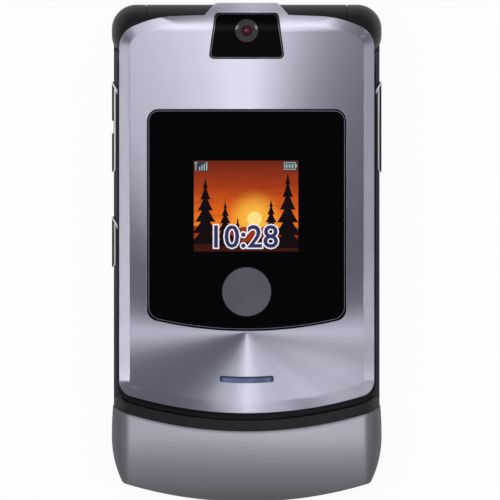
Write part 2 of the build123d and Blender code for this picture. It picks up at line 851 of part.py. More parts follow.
# ---- Lid: inner bezel ----
with BuildPart() as lid_bezel:
    add(prism(frame_plan, lid_low_z, bezel_top_z))
    add(slab(-far, far, block_end_y, far, 0, far), mode=Mode.SUBTRACT)
    with BuildSketch(Plane.XY.offset(lid_low_z)):
        with Locations((0, main_screen_y)):
            RectangleRounded(
                main_screen_width + 2 * fit,
                main_screen_height + 2 * fit,
                main_screen_corner,
            )
    extrude(amount=main_window_sunk + main_window_thickness + fit / 2, mode=Mode.SUBTRACT)
    with BuildSketch(Plane.XY.offset(lid_low_z)):
        with Locations((0, main_screen_y)):
            Rectangle(
                main_screen_width - 2 * main_screen_border,
                main_screen_height - 2 * main_screen_border,
            )
    extrude(amount=bezel_thickness, mode=Mode.SUBTRACT)
    with BuildSketch(Plane.XY.offset(lid_low_z)):
        with Locations(*[(0, y) for y in rows(earpiece_y, ear_slot_pitch, ear_slot_count)]):
            SlotOverall(ear_slot_length, ear_slot_width)
    extrude(amount=bezel_thickness, mode=Mode.SUBTRACT)
    with BuildSketch(Plane.XY.offset(lid_low_z)):
        with Locations(*bumper_places):
            Rectangle(bumper_width + fit, bumper_length + fit)
    extrude(amount=bumper_height - lid_gap + fit, mode=Mode.SUBTRACT)
    with BuildSketch(Plane.XY.offset(lid_low_z)):
        with Locations(*lid_screw_places):
            Circle(lid_screw_head + fit)
    extrude(amount=lid_screw_sunk + lid_screw_head_height + fit / 2, mode=Mode.SUBTRACT)
    with BuildSketch(Plane.XY.offset(lid_low_z)):
        with Locations(*lid_screw_places):
            Circle(lid_screw_shank + fit)
    extrude(amount=bezel_thickness, mode=Mode.SUBTRACT)
write(lid_bezel, "lid_bezel")

with BuildPart() as lid_screws:
    with BuildSketch(Plane.XY.offset(lid_low_z + lid_screw_sunk)):
        with Locations(*lid_screw_places):
            Circle(lid_screw_head)
    extrude(amount=lid_screw_head_height)
    with BuildSketch(Plane.XY.offset(lid_low_z + lid_screw_sunk)):
        with Locations(*lid_screw_places):
            Circle(lid_screw_shank)
    extrude(amount=lid_screw_length)
    with BuildSketch(Plane.XY.offset(lid_low_z + lid_screw_sunk)):
        with Locations(*lid_screw_places):
            RegularPolygon(lid_screw_socket, 6)
    extrude(amount=2 * lid_screw_head_height / 3, mode=Mode.SUBTRACT)
write(lid_screws, "lid_screws")

with BuildPart() as lid_bumpers:
    with BuildSketch(Plane.XY.offset(base_thickness + bumper_clear)):
        with Locations(*bumper_places):
            RectangleRounded(bumper_width, bumper_length, bumper_corner)
    extrude(amount=bumper_height - fit)
write(lid_bumpers, "lid_bumpers")

# ---- Lid: windows, displays, board, camera ----
with BuildPart() as outer_window:
    add(prism(window_plan(), window_low_z, window_top_z))
    with BuildSketch(Plane.XY.offset(window_top_z)):
        with Locations((0, badge_y)):
            Circle(badge_radius + fit / 2)
    extrude(amount=-badge_depth, mode=Mode.SUBTRACT)
write(outer_window, "outer_window")

with BuildPart() as badge:
    with BuildSketch(Plane.XY.offset(window_top_z - badge_depth + badge_proud)):
        with Locations((0, badge_y)):
            Circle(badge_radius)
    extrude(amount=badge_depth)
    chamfer(badge.edges().group_by(Axis.Z)[-1], badge_chamfer)
write(badge, "badge")

with BuildPart() as outer_display:
    with BuildSketch(Plane.XY.offset(window_low_z - fit - display_thickness)):
        with Locations((outer_screen_x, outer_screen_y)):
            RectangleRounded(outer_screen_width, outer_screen_height, outer_screen_corner)
    extrude(amount=display_thickness)
write(outer_display, "outer_display")

with BuildPart() as light_pipe:
    pipe_top_z = lid_top_z - pipe_sunk
    add(prism(pipe_plan(), pipe_top_z - pipe_height, pipe_top_z))
write(light_pipe, "light_pipe")

with BuildPart() as camera_window:
    add(under_skin(camera_sunk, camera_plan(), hinge_z, far))
    inner_skin = under_skin(camera_sunk + camera_window_thickness, camera_plan(2 * fit), 0, far)
    add(inner_skin, mode=Mode.SUBTRACT)
    with BuildSketch(Plane.XY):
        with Locations((0, camera_y)):
            Circle(camera_ring_radius + fit)
    extrude(amount=far, mode=Mode.SUBTRACT)
write(camera_window, "camera_window")

module_top_z = lid_top_z - lens_depth
module_low_z = hinge_z + camera_lift + fit
lens_low_z = module_top_z + fit / 2
lens_floor_z = lid_top_z - lens_step
with BuildPart() as camera_module:
    with BuildSketch(Plane.XY.offset(module_low_z)):
        with Locations((0, camera_y)):
            RectangleRounded(camera_size, camera_size, camera_corner)
    extrude(amount=camera_height)
    with BuildSketch(Plane.XY.offset(module_low_z)):
        with Locations((0, camera_y)):
            Circle(camera_ring_radius)
    extrude(amount=module_top_z - module_low_z)
write(camera_module, "camera_module")

with BuildSketch() as lens_plan:
    with Locations((0, camera_y)):
        Circle(camera_ring_radius)
with BuildPart() as camera_lens:
    add(under_skin(lens_sunk, lens_plan.sketch, lens_low_z, far))
    with BuildSketch(Plane.XY.offset(lens_floor_z)):
        with Locations((0, camera_y)):
            Circle(camera_ring_radius - lens_rim)
    extrude(amount=far, mode=Mode.SUBTRACT)
    with Locations((0, camera_y, lid_top_z - lens_dome_depth)):
        Sphere(lens_dome_radius)
    add(slab(-far, far, 0, far, 0, lens_low_z), mode=Mode.SUBTRACT)
write(camera_lens, "camera_lens")

with BuildPart() as main_window:
    with BuildSketch(Plane.XY.offset(lid_low_z + main_window_sunk)):
        with Locations((0, main_screen_y)):
            RectangleRounded(main_screen_width, main_screen_height, main_screen_corner - fit)
    extrude(amount=main_window_thickness)
write(main_window, "main_window")

with BuildPart() as main_display:
    with BuildSketch(Plane.XY.offset(main_display_z)):
        with Locations((0, main_screen_y)):
            RectangleRounded(main_screen_width, main_screen_height, outer_screen_corner)
    extrude(amount=display_thickness)
write(main_display, "main_display")

lid_board_top_z = lid_board_z + lid_board_thickness
chip_x = pocket_half - chip_side
chip_foot_y = pocket_foot_y + chip_rise
chip_top_y = pocket_top_y - chip_drop
with BuildPart() as lid_board:
    with BuildSketch(Plane.XY.offset(lid_board_z)):
        add(pocket_plan())
        offset(amount=-lid_board_edge)
    extrude(amount=lid_board_thickness)
    with BuildSketch(Plane.XY.offset(lid_board_top_z)):
        with Locations((-chip_x, chip_top_y), (chip_x, chip_top_y)):
            Rectangle(chip_width, chip_length)
        with Locations((-chip_x, chip_foot_y), (0, chip_foot_y)):
            Rectangle(chip_width, chip_length)
        with Locations((chip_x, chip_foot_y)):
            Rectangle(chip_length, chip_width)
    extrude(amount=chip_height)
    with BuildSketch(Plane.XY.offset(lid_board_top_z)):
        with Locations((0, pipe_y)):
            Rectangle(led_length, led_width)
    extrude(amount=led_height)
write(lid_board, "lid_board")

with BuildPart() as earpiece:
    with BuildSketch(Plane.XY.offset(main_display_z)):
        with Locations((0, earpiece_y)):
            SlotOverall(earpiece_length, earpiece_width)
    extrude(amount=display_thickness)
    with BuildSketch(Plane.XY.offset(main_display_z)):
        with Locations((0, earpiece_y)):
            SlotOverall(earpiece_length - 2 * earpiece_rim, earpiece_width - 2 * earpiece_rim)
    extrude(amount=2 * fit, mode=Mode.SUBTRACT)
write(earpiece, "earpiece")

# ---- Hinge parts ----
follower_low_x = barrel_half - fit - follower_length
collar_low_x = bearing_high + 2 * fit
spring_low_x = collar_low_x + collar_width + fit
cam_end_x = knuckle_x + cam_depth
pin_end_x = cam_end_x + pin_seat

with BuildPart() as hinge_follower:
    add(hinge_rod(bore_radius - fit / 2, follower_low_x, barrel_half - fit))
    add(hinge_rod(pin_radius + pin_fit, follower_low_x, barrel_half), mode=Mode.SUBTRACT)
write(hinge_follower, "hinge_follower")

with BuildPart() as hinge_cam:
    add(hinge_rod(bore_radius - fit / 2, knuckle_x, cam_end_x))
    add(hinge_rod(pin_radius + pin_fit, knuckle_x, cam_end_x), mode=Mode.SUBTRACT)
write(hinge_cam, "hinge_cam")

spring_length = follower_low_x - spring_low_x - 2 * spring_wire - 2 * fit
spring_start = (spring_low_x + spring_wire + fit, hinge_y, hinge_z)
with BuildPart() as hinge_spring:
    with BuildLine() as coil:
        Helix(
            pitch=spring_length / spring_turns,
            height=spring_length,
            radius=spring_radius,
            center=spring_start,
            direction=(1, 0, 0),
        )
    with BuildSketch(Plane(origin=coil.wire() @ 0, z_dir=coil.wire() % 0)):
        Circle(spring_wire)
    sweep(path=coil.wire(), is_frenet=True)
write(hinge_spring, "hinge_spring")

with BuildPart() as hinge_pin:
    add(hinge_rod(pin_radius, bearing_low + hinge_clear, pin_end_x))
    add(hinge_rod(collar_radius, collar_low_x, collar_low_x + collar_width))
    add(hinge_rod(pin_radius, -pin_end_x, -bearing_low - hinge_clear))
write(hinge_pin, "hinge_pin")

ribbon_z = board_top_z + ribbon_lift
ribbon_high_x = -knuckle_x - cam_depth / 8
ribbon_low_x = ribbon_high_x - ribbon_width
ribbon_foot_y = web_top_y - ribbon_width - fit / 2
coil_meets_y = hinge_y - math.sqrt(coil_radius**2 - (hinge_z - ribbon_z) ** 2)
with BuildPart() as flex_cable:
    add(hinge_rod(coil_radius, ribbon_low_x, -collar_low_x - collar_width))
    add(
        hinge_rod(coil_radius - coil_thickness, -far, -collar_low_x - collar_width),
        mode=Mode.SUBTRACT,
    )
    add(
        slab(
            ribbon_low_x,
            ribbon_high_x,
            ribbon_foot_y,
            coil_meets_y + coil_thickness / 5,
            ribbon_z,
            ribbon_z + ribbon_thickness,
        )
    )
write(flex_cable, "flex_cable")

# ---- Base: plans and cuts shared by its shells ----
port_low_x = base_half - fit - port_depth
port_cut = slab(
    base_half - 2 * wall,
    far,
    port_y - port_half - fit,
    port_y + port_half + fit,
    port_low_z - fit,
    port_high_z + fit / 2,
)
side_keys = {
    "volume_rocker": (-1, rocker_foot_y, rocker_top_y),
    "smart_key": (-1, smart_foot_y, smart_top_y),
    "voice_key": (1, rocker_foot_y, rocker_top_y),
}


def boss_plan(grow=0.0):
    """Plan of the screw bosses and of the webs that hang them on the frame's top wall."""
    reach = boss_reach + grow
    with BuildSketch() as plan:
        with Locations(*screw_places):
            Circle(boss_radius + grow)
        for side in (-1, 1):
            with Locations(*[(side * (screw_x + reach / 2), y) for y in screw_ys]):
                Rectangle(reach, 2 * (boss_radius + grow))
    return plan.sketch


def base_plan(inset=0.0):
    """Outline of the base under the lid, from the bowed chin edge to the hinge axis."""
    with BuildSketch() as plan:
        with Locations((0, hinge_y)):
            Rectangle(
                2 * (base_half - inset),
                hinge_y - chin_trim_foot_y - inset,
                align=(Align.CENTER, Align.MAX),
            )
        with Locations((0, chin_trim_foot_y + inset + arc_radius)):
            Circle(arc_radius, mode=Mode.INTERSECT)
    return plan.sketch


def web_plan(grow=0.0):
    """Outline of the key sheet."""
    with BuildSketch() as plan:
        with Locations((0, web_top_y)):
            Rectangle(2 * web_half, web_top_y - web_foot_y, align=(Align.CENTER, Align.MAX))
        with Locations((0, web_foot_y + arc_radius)):
            Circle(arc_radius, mode=Mode.INTERSECT)
        fillet(plan.vertices(), web_corner)
        if grow:
            offset(amount=grow)
    return plan.sketch


def interior_plan():
    """Outline of the hollow inside the base, open towards the chin."""
    with BuildSketch() as plan:
        with Locations((0, web_top_y + web_ledge)):
            Rectangle(2 * (base_half - wall), far, align=(Align.CENTER, Align.MAX))
    return plan.sketch


def hinge_seat():
    """Space that the turning barrel and the camera tab need between the knuckles."""
    with BuildPart() as space:
        add(hinge_rod(hinge_radius + hinge_clear, -knuckle_x, knuckle_x))
        add(hinge_rod(tab_seat_radius, -tab_foot_half - hinge_clear, tab_foot_half + hinge_clear))
        add(slab(-knuckle_x, knuckle_x, seat_end_y, far, -far, far))
    return space.part


def side_slots():
    """Openings in the flanks for the three side buttons."""
    with BuildPart() as slots:
        for side, foot, top in side_keys.values():
            edges = sorted((side * (base_half - 2 * wall), side * (base_half + wall)))
            add(
                slab(
                    *edges,
                    foot - slide_fit,
                    top + slide_fit,
                    side_low_z - slide_fit,
                    side_low_z + side_height + slide_fit,
                )
            )
    return slots.part


def side_scoops():
    """Scoops in the frame's front edge that bare the side buttons, with slanted ends."""
    with BuildPart() as scoops:
        with BuildSketch(Plane.XY.offset(side_low_z + side_height)):
            for side, foot, top in side_keys.values():
                inner_x = side * (base_half - wall)
                outer_x = side * (base_half + wall)
                reach = scoop_slant + 2 * slide_fit
                with BuildLine():
                    Polyline(
                        (inner_x, foot + scoop_slant),
                        (outer_x, foot - reach),
                        (outer_x, top + reach),
                        (inner_x, top - scoop_slant),
                        close=True,
                    )
                make_face()
        extrude(amount=base_thickness)
    return scoops.part


# ---- Base: metal frame with the end knuckles ----
def knuckle(side):
    """One closed end knuckle with its domed end, bored from the seam."""
    edges = sorted((side * knuckle_x, side * hinge_width / 2))
    with BuildPart() as ear:
        add(hinge_rod(hinge_radius, *edges))
        rim = ear.edges().filter_by(GeomType.CIRCLE).sort_by(Axis.X)
        fillet(rim[-1] if side > 0 else rim[0], knuckle_round)
    return ear.part


with BuildPart() as base_frame:
    add(prism(base_plan(), frame_low_z + fit / 2, base_thickness))
    add(prism(interior_plan(), 0, flange_z), mode=Mode.SUBTRACT)
    add(prism(web_plan(fit), ledge_z, far), mode=Mode.SUBTRACT)
    add(prism(web_plan(-web_ledge), 0, far), mode=Mode.SUBTRACT)
    add(hinge_seat(), mode=Mode.SUBTRACT)
    for side in (-1, 1):
        add(knuckle(side))
        edges = sorted((side * knuckle_x, side * cam_end_x))
        add(hinge_rod(bore_radius, *edges), mode=Mode.SUBTRACT)
        edges = sorted((side * knuckle_x, side * (pin_end_x + fit)))
        add(hinge_rod(pin_radius + pin_fit / 2, *edges), mode=Mode.SUBTRACT)
    add(
        slab(
            ribbon_low_x - ribbon_slot,
            ribbon_high_x + ribbon_slot,
            ribbon_foot_y,
            hinge_y - coil_radius + ribbon_slot,
            ribbon_z - ribbon_slot,
            ribbon_z + ribbon_thickness + ribbon_slot,
        ),
        mode=Mode.SUBTRACT,
    )
    add(prism(boss_plan(), frame_low_z + fit / 2, boss_top_z))
    with BuildSketch(Plane.XY.offset(boss_top_z)):
        add(boss_plan())
        add(web_plan(-web_ledge), mode=Mode.SUBTRACT)
    extrude(amount=flange_z - boss_top_z)
    with BuildSketch(Plane.XY.offset(frame_low_z + fit / 2)):
        with Locations(*screw_places):
            Circle(screw_shank + fit / 2)
    extrude(amount=boss_top_z - frame_low_z, mode=Mode.SUBTRACT)
    add(side_slots(), mode=Mode.SUBTRACT)
    add(side_scoops(), mode=Mode.SUBTRACT)
    add(port_cut, mode=Mode.SUBTRACT)
    with BuildSketch(Plane.XY.offset(flange_z)):
        with Locations((microphone_x, microphone_y)):
            Circle(microphone_radius + fit)
    extrude(amount=frame_flange - microphone_roof, mode=Mode.SUBTRACT)
    with BuildSketch(Plane.XY.offset(flange_z)):
        with Locations((microphone_x, microphone_y)):
            Circle(microphone_hole)
    extrude(amount=frame_flange, mode=Mode.SUBTRACT)
write(base_frame, "base_frame")

# ---- Base: rear housing with the back half of the chin ----
def housing_shell():
    """Outer body of the rear housing with its rounded back edges."""
    with BuildPart() as shell:
        with BuildSketch():
            add(base_plan())
        extrude(amount=frame_low_z)
        flanks = shell.edges().filter_by(Axis.Y).group_by(Axis.Z)[0]
        fillet(flanks, back_round)
    return shell.part


with BuildPart() as rear_housing:
    add(housing_shell())
    add(prism(interior_plan(), floor_z, far), mode=Mode.SUBTRACT)
    add(below_arc(chin_trim_foot_y, 0, chin_part_z) & chin_full)
    add(below_arc(chin_trim_foot_y + wall, 0, far) & chin_inside, mode=Mode.SUBTRACT)
    add(slab(-far, far, cover_foot_y - cover_gap, far, -far, housing_z), mode=Mode.SUBTRACT)
    with BuildSketch(Plane.XY.offset(housing_z)):
        with Locations((0, battery_top_y + fit + bay_wall)):
            Rectangle(
                2 * (battery_half + fit + bay_wall),
                battery_top_y - battery_foot_y + 2 * (fit + bay_wall),
                align=(Align.CENTER, Align.MAX),
            )
    extrude(amount=bay_top_z - housing_z)
    with BuildSketch(Plane.XY.offset(floor_z)):
        with Locations(*screw_places):
            Circle(boss_radius)
    extrude(amount=frame_low_z - floor_z)
    add(
        slab(
            -battery_half - fit,
            battery_half + fit,
            battery_foot_y - fit,
            battery_top_y + fit,
            0,
            bay_ceiling_z,
        ),
        mode=Mode.SUBTRACT,
    )
    with BuildSketch(Plane.XY.offset(housing_z)):
        with Locations(*screw_places):
            Circle(screw_head + fit)
    extrude(amount=screw_sunk + screw_head_height + fit, mode=Mode.SUBTRACT)
    with BuildSketch(Plane.XY.offset(housing_z)):
        with Locations(*screw_places):
            Circle(screw_shank + fit)
    extrude(amount=frame_low_z, mode=Mode.SUBTRACT)
    for side in (-1, 1):
        add(
            slab(
                side * rail_x - rail_width / 2 - slide_fit,
                side * rail_x + rail_width / 2 + slide_fit,
                cover_foot_y + rail_rise - 1,
                far,
                housing_z - fit,
                housing_z + rail_depth,
            ),
            mode=Mode.SUBTRACT,
        )
    with BuildSketch(Plane.XY.offset(housing_z)):
        with Locations((0, latch_y)):
            SlotOverall(latch_length + 2 * slide_fit, latch_width + 2 * slide_fit)
    extrude(amount=floor_thickness, mode=Mode.SUBTRACT)
    with BuildSketch():
        with Locations(*[(x, speaker_y) for x in rows(0, speaker_slot_pitch, speaker_slot_count)]):
            SlotOverall(speaker_slot_length, speaker_slot_width, rotation=90)
    extrude(amount=floor_z + fit, mode=Mode.SUBTRACT)
    add(port_cut, mode=Mode.SUBTRACT)
    add(hinge_seat(), mode=Mode.SUBTRACT)
    for side in (-1, 1):
        edges = sorted((side * (knuckle_x - wall), side * hinge_width))
        add(hinge_rod(hinge_radius + fit, *edges), mode=Mode.SUBTRACT)
    add(slab(-far, far, seat_end_y, far, -far, far), mode=Mode.SUBTRACT)
write(rear_housing, "rear_housing")


# ---- Base: chin shell and the black trim behind the lid ----
def around_lid(grow):
    """Plan of the lid frame with room all round it."""
    with BuildSketch() as plan:
        add(frame_plan)
        offset(amount=grow)
    return plan.sketch


with BuildPart() as chin_cover:
    add(chin_full)
    add(slab(-far, far, -far, far, -far, chin_part_z + fit / 2), mode=Mode.SUBTRACT)
    trim_space = around_lid(trim_gap + trim_width + fit / 2)
    add(prism(trim_space, base_thickness + fit / 2, far), mode=Mode.SUBTRACT)
    add(prism(base_plan(-fit / 2), 0, base_thickness + fit / 2), mode=Mode.SUBTRACT)
    add(slab(-far, far, crest_y + chin_start, far, -far, far), mode=Mode.SUBTRACT)
    add(chin_inside, mode=Mode.SUBTRACT)
write(chin_cover, "chin_cover")

with BuildPart() as chin_trim:
    trim_outline = around_lid(trim_gap + trim_width)
    add(prism(trim_outline, base_thickness + fit / 2, phone_thickness - trim_drop))
    add(prism(around_lid(trim_gap), 0, far), mode=Mode.SUBTRACT)
    with BuildSketch(Plane.XZ):
        add(chin_section(trim_side_fit))
    extrude(amount=phone_length, both=True, mode=Mode.INTERSECT)
    with BuildSketch():
        add(chin_plan())
        offset(amount=-trim_side_fit)
    extrude(amount=2 * phone_thickness, both=True, mode=Mode.INTERSECT)
    add(slab(-far, far, crest_y + trim_start, far, -far, far), mode=Mode.SUBTRACT)
    seam_x_low = chin_half - trim_seam_inset - trim_seam_width / 2
    seam_top_z = phone_thickness - trim_drop
    for side in (-1, 1):
        edges = sorted((side * seam_x_low, side * (seam_x_low + trim_seam_width)))
        add(
            slab(*edges, -half_length, crest_y + trim_start, seam_top_z - trim_seam_depth, far),
            mode=Mode.SUBTRACT,
        )
write(chin_trim, "chin_trim")

# ---- Base: battery, its sliding cover and the latch ----
with BuildPart() as battery:
    with BuildSketch(Plane.XY.offset(housing_z)):
        with Locations((0, (battery_top_y + battery_foot_y) / 2)):
            RectangleRounded(2 * battery_half, battery_top_y - battery_foot_y, battery_corner)
    extrude(amount=battery_thickness)
write(battery, "battery")

with BuildPart() as battery_cover:
    with BuildSketch():
        with Locations((0, cover_top_y)):
            RectangleRounded(
                2 * cover_half,
                cover_top_y - cover_foot_y,
                cover_corner,
                align=(Align.CENTER, Align.MAX),
            )
        with Locations((0, latch_y)):
            SlotOverall(latch_length, latch_width, mode=Mode.SUBTRACT)
    extrude(amount=cover_thickness)
    for side in (-1, 1):
        add(
            slab(
                side * rail_x - rail_width / 2,
                side * rail_x + rail_width / 2,
                cover_foot_y + rail_rise,
                cover_top_y - rail_drop,
                cover_thickness,
                housing_z + rail_depth - fit,
            )
        )
write(battery_cover, "battery_cover")

with BuildPart() as battery_latch:
    with BuildSketch(Plane.XY.offset(cover_thickness + fit)):
        with Locations((0, latch_y)):
            SlotOverall(latch_length, latch_width)
    extrude(amount=floor_z - cover_thickness)
    with BuildSketch(Plane.XY.offset(floor_z + fit)):
        with Locations((0, latch_y)):
            SlotOverall(latch_length + 2 * latch_rim, latch_width + 2 * latch_rim)
    extrude(amount=latch_rim_height)
write(battery_latch, "battery_latch")

# ---- Base: board, domes and what stands on the board ----
with BuildPart() as main_board:
    with BuildSketch(Plane.XY.offset(board_low_z)):
        with Locations((0, web_top_y)):
            Rectangle(
                2 * board_half,
                web_top_y - web_foot_y + board_margin,
                align=(Align.CENTER, Align.MAX),
            )
        with Locations((0, web_foot_y)):
            Rectangle(
                2 * tongue_half,
                web_foot_y + half_length - tongue_end,
                align=(Align.CENTER, Align.MAX),
            )
        add(boss_plan(boss_clear), mode=Mode.SUBTRACT)
    extrude(amount=board_thickness)
write(main_board, "main_board")

digit_names = ("1", "2", "3", "4", "5", "6", "7", "8", "9", "star", "0", "hash")
key_list = {}
for index, digit in enumerate(digit_names):
    column = index % 3 - 1
    row = index // 3
    key_list[f"key_{digit}"] = (
        column * digit_pitch_x,
        digit_top_y - row * digit_pitch_y + abs(column) * digit_bow,
        digit_width,
        digit_height,
    )
key_list["left_soft_key"] = (-side_key_x, soft_key_y, side_key_width, soft_key_height)
key_list["right_soft_key"] = (side_key_x, soft_key_y, side_key_width, soft_key_height)
key_list["send_key"] = (-side_key_x, call_key_y, side_key_width, call_key_height)
key_list["end_key"] = (side_key_x, call_key_y, side_key_width, call_key_height)
key_list["menu_key"] = (0, menu_key_y, digit_width, bar_key_height)
key_list["clear_key"] = (0, clear_key_y, digit_width, bar_key_height)

with BuildPart() as dome_sheet:
    with BuildSketch(Plane.XY.offset(board_top_z + dome_lift)):
        with Locations((0, web_top_y - dome_drop)):
            Rectangle(
                2 * (web_half - dome_side),
                web_top_y - web_foot_y - dome_drop - dome_rise,
                align=(Align.CENTER, Align.MAX),
            )
        add(boss_plan(boss_clear), mode=Mode.SUBTRACT)
    extrude(amount=dome_sheet_thickness)
    with BuildSketch(Plane.XY.offset(board_top_z + dome_lift + dome_sheet_thickness)):
        with Locations(*[(x, y) for x, y, _, _ in key_list.values()]):
            Circle(dome_radius)
    extrude(amount=dome_height)
    add(
        slab(
            ribbon_low_x - hinge_clear,
            ribbon_high_x + hinge_clear,
            ribbon_foot_y - 2 * ribbon_width,
            far,
            0,
            far,
        ),
        mode=Mode.SUBTRACT,
    )
write(dome_sheet, "dome_sheet")

with BuildPart() as keypad_web:
    add(prism(web_plan(), web_low_z, base_thickness))
    with BuildSketch(Plane.XY.offset(web_low_z)):
        for x, y, width, height in key_list.values():
            with Locations((x, y)):
                RectangleRounded(
                    width + 2 * slide_fit,
                    height + 2 * slide_fit,
                    key_corner + slide_fit,
                )
        with Locations((0, ring_y)):
            Circle(ring_radius + slide_fit)
    extrude(amount=web_thickness, mode=Mode.SUBTRACT)
write(keypad_web, "keypad_web")

for name, (x, y, width, height) in key_list.items():
    with BuildPart() as key:
        with BuildSketch(Plane.XY.offset(key_low_z)):
            with Locations((x, y)):
                RectangleRounded(width, height, key_corner)
        extrude(amount=key_top_z - key_low_z)
        fillet(key.edges().group_by(Axis.Z)[-1], key_edge_round)
        with BuildSketch(Plane.XY.offset(key_low_z)):
            with Locations((x, y)):
                RectangleRounded(
                    width + 2 * key_flange,
                    height + 2 * key_flange,
                    key_corner + key_flange,
                )
        extrude(amount=web_low_z - key_flange_gap - key_low_z)
    write(key, name)

# ---- Base: navigation ring on its gimbal plate, and the select key ----
actuator_z = board_top_z + actuator_lift
with BuildPart() as nav_actuator:
    with BuildSketch(Plane.XY.offset(actuator_z)):
        with Locations((0, ring_y)):
            Circle(ring_bore + actuator_width)
            Circle(ring_bore, mode=Mode.SUBTRACT)
    extrude(amount=actuator_thickness)
write(nav_actuator, "nav_actuator")

ring_low_z = board_top_z + ring_lift
with BuildPart() as nav_ring:
    with BuildSketch(Plane.XY.offset(ring_low_z)):
        with Locations((0, ring_y)):
            Circle(ring_radius)
            Circle(ring_bore, mode=Mode.SUBTRACT)
    extrude(amount=base_thickness - ring_low_z)
    fillet(nav_ring.edges().group_by(Axis.Z)[-1], ring_edge_round)
write(nav_ring, "nav_ring")

with BuildPart() as select_key:
    with BuildSketch(Plane.XY.offset(key_low_z)):
        with Locations((0, ring_y)):
            Circle(select_radius)
    extrude(amount=key_top_z - key_low_z)
    fillet(select_key.edges().group_by(Axis.Z)[-1], select_edge_round)
write(select_key, "select_key")

# ---- Base: side buttons ----
for name, (side, foot, top) in side_keys.items():
    outer_x = base_half + side_proud
    inner_x = base_half - wall + side_bury
    neck_low_x = inner_x - side_neck_depth
    middle_y = (foot + top) / 2
    neck_z = side_low_z + side_neck_height
    with BuildPart() as button:
        add(slab(inner_x, outer_x, foot, top, side_low_z, side_low_z + side_height))
        ends = button.edges().filter_by(Axis.Z).group_by(Axis.X)[-1]
        chamfer(ends, side_proud, 2 * side_proud)
        rims = button.edges().filter_by(Axis.Y).group_by(Axis.X)[-1]
        fillet(rims, side_round)
        if name == "volume_rocker":
            with BuildSketch(Plane.XY.offset(side_low_z)):
                with Locations((outer_x, middle_y)):
                    SlotOverall(side_notch_length, side_notch_width, rotation=90)
            extrude(amount=side_height, mode=Mode.SUBTRACT)
            neck_ends = (middle_y - rocker_foot_half, middle_y + rocker_foot_half)
        else:
            add(
                slab(
                    inner_x - side_flange,
                    inner_x - side_flange_gap,
                    foot - side_flange_rim,
                    top + side_flange_rim,
                    side_low_z - side_flange_drop,
                    neck_z,
                )
            )
            neck_ends = (foot + side_neck_margin, top - side_neck_margin)
        add(slab(neck_low_x, inner_x + fit, *neck_ends, side_low_z, neck_z))
        if side < 0:
            mirror(about=Plane.YZ)
            add(slab(0, far, -far, far, -far, far), mode=Mode.SUBTRACT)
    write(button, name)

# ---- Base: socket, loudspeaker, microphone, antenna, screws ----
with BuildPart() as usb_socket:
    add(
        slab(
            port_low_x,
            base_half - fit,
            port_y - port_half,
            port_y + port_half,
            port_low_z,
            port_high_z,
        )
    )
    add(
        slab(
            port_low_x + 2 * port_shell,
            base_half,
            port_y - port_half + port_shell,
            port_y + port_half - port_shell,
            port_low_z + port_shell,
            port_high_z - port_shell,
        ),
        mode=Mode.SUBTRACT,
    )
    port_middle_z = (port_low_z + port_high_z - port_tongue_height) / 2
    add(
        slab(
            port_low_x + port_shell,
            base_half - wall,
            port_y - port_tongue_half,
            port_y + port_tongue_half,
            port_middle_z,
            port_middle_z + port_tongue_height,
        )
    )
write(usb_socket, "usb_socket")

speaker_low_z = floor_z - speaker_sink
with BuildPart() as loudspeaker:
    with BuildSketch(Plane.XY.offset(speaker_low_z)):
        with Locations((0, speaker_y)):
            SlotOverall(speaker_length, speaker_width)
    extrude(amount=board_low_z - fit - speaker_low_z)
    with BuildSketch(Plane.XY.offset(speaker_low_z)):
        with Locations((0, speaker_y)):
            SlotOverall(speaker_length - 2 * speaker_rim, speaker_width - 2 * speaker_rim)
    extrude(amount=speaker_hollow, mode=Mode.SUBTRACT)
write(loudspeaker, "loudspeaker")

microphone_low_z = board_top_z + fit / 2
microphone_top_z = base_thickness - microphone_roof - fit
with BuildPart() as microphone:
    with BuildSketch(Plane.XY.offset(microphone_low_z)):
        with Locations((microphone_x, microphone_y)):
            Circle(microphone_radius)
    extrude(amount=microphone_top_z - microphone_low_z)
    with BuildSketch(Plane.XY.offset(microphone_top_z)):
        with Locations((microphone_x, microphone_y)):
            Circle(microphone_hole)
    extrude(amount=-microphone_roof, mode=Mode.SUBTRACT)
write(microphone, "microphone")

antenna_low_z = board_top_z + fit / 2
foil_y = antenna_y + (antenna_width - antenna_foil_width) / 2 - fit
foil_slots = [(x, foil_y) for x in rows(0, antenna_slot_pitch, antenna_slot_count)]
with BuildPart() as antenna:
    with BuildSketch(Plane.XY.offset(antenna_low_z)):
        with Locations((0, antenna_y)):
            Rectangle(antenna_length, antenna_width)
    extrude(amount=antenna_height)
    with BuildSketch(Plane.XY.offset(antenna_low_z + antenna_height)):
        with Locations((0, foil_y)):
            Rectangle(antenna_length - 2 * antenna_foil_inset, antenna_foil_width)
        with Locations(*foil_slots):
            Rectangle(antenna_slot_length, antenna_slot_width, mode=Mode.SUBTRACT)
    extrude(amount=antenna_foil)
write(antenna, "antenna")

screw_low_z = housing_z + screw_sunk
with BuildPart() as base_screws:
    with BuildSketch(Plane.XY.offset(screw_low_z)):
        with Locations(*screw_places):
            Circle(screw_head)
    extrude(amount=screw_head_height)
    with BuildSketch(Plane.XY.offset(screw_low_z)):
        with Locations(*screw_places):
            Circle(screw_shank)
    extrude(amount=frame_low_z + screw_grip - screw_low_z)
    with BuildSketch(Plane.XY.offset(screw_low_z)):
        with Locations(*screw_places):
            RegularPolygon(screw_socket, 6)
    extrude(amount=screw_socket_depth, mode=Mode.SUBTRACT)
write(base_screws, "base_screws")
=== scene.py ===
import json
import math

import bmesh
import bpy
from mathutils import Matrix, Vector


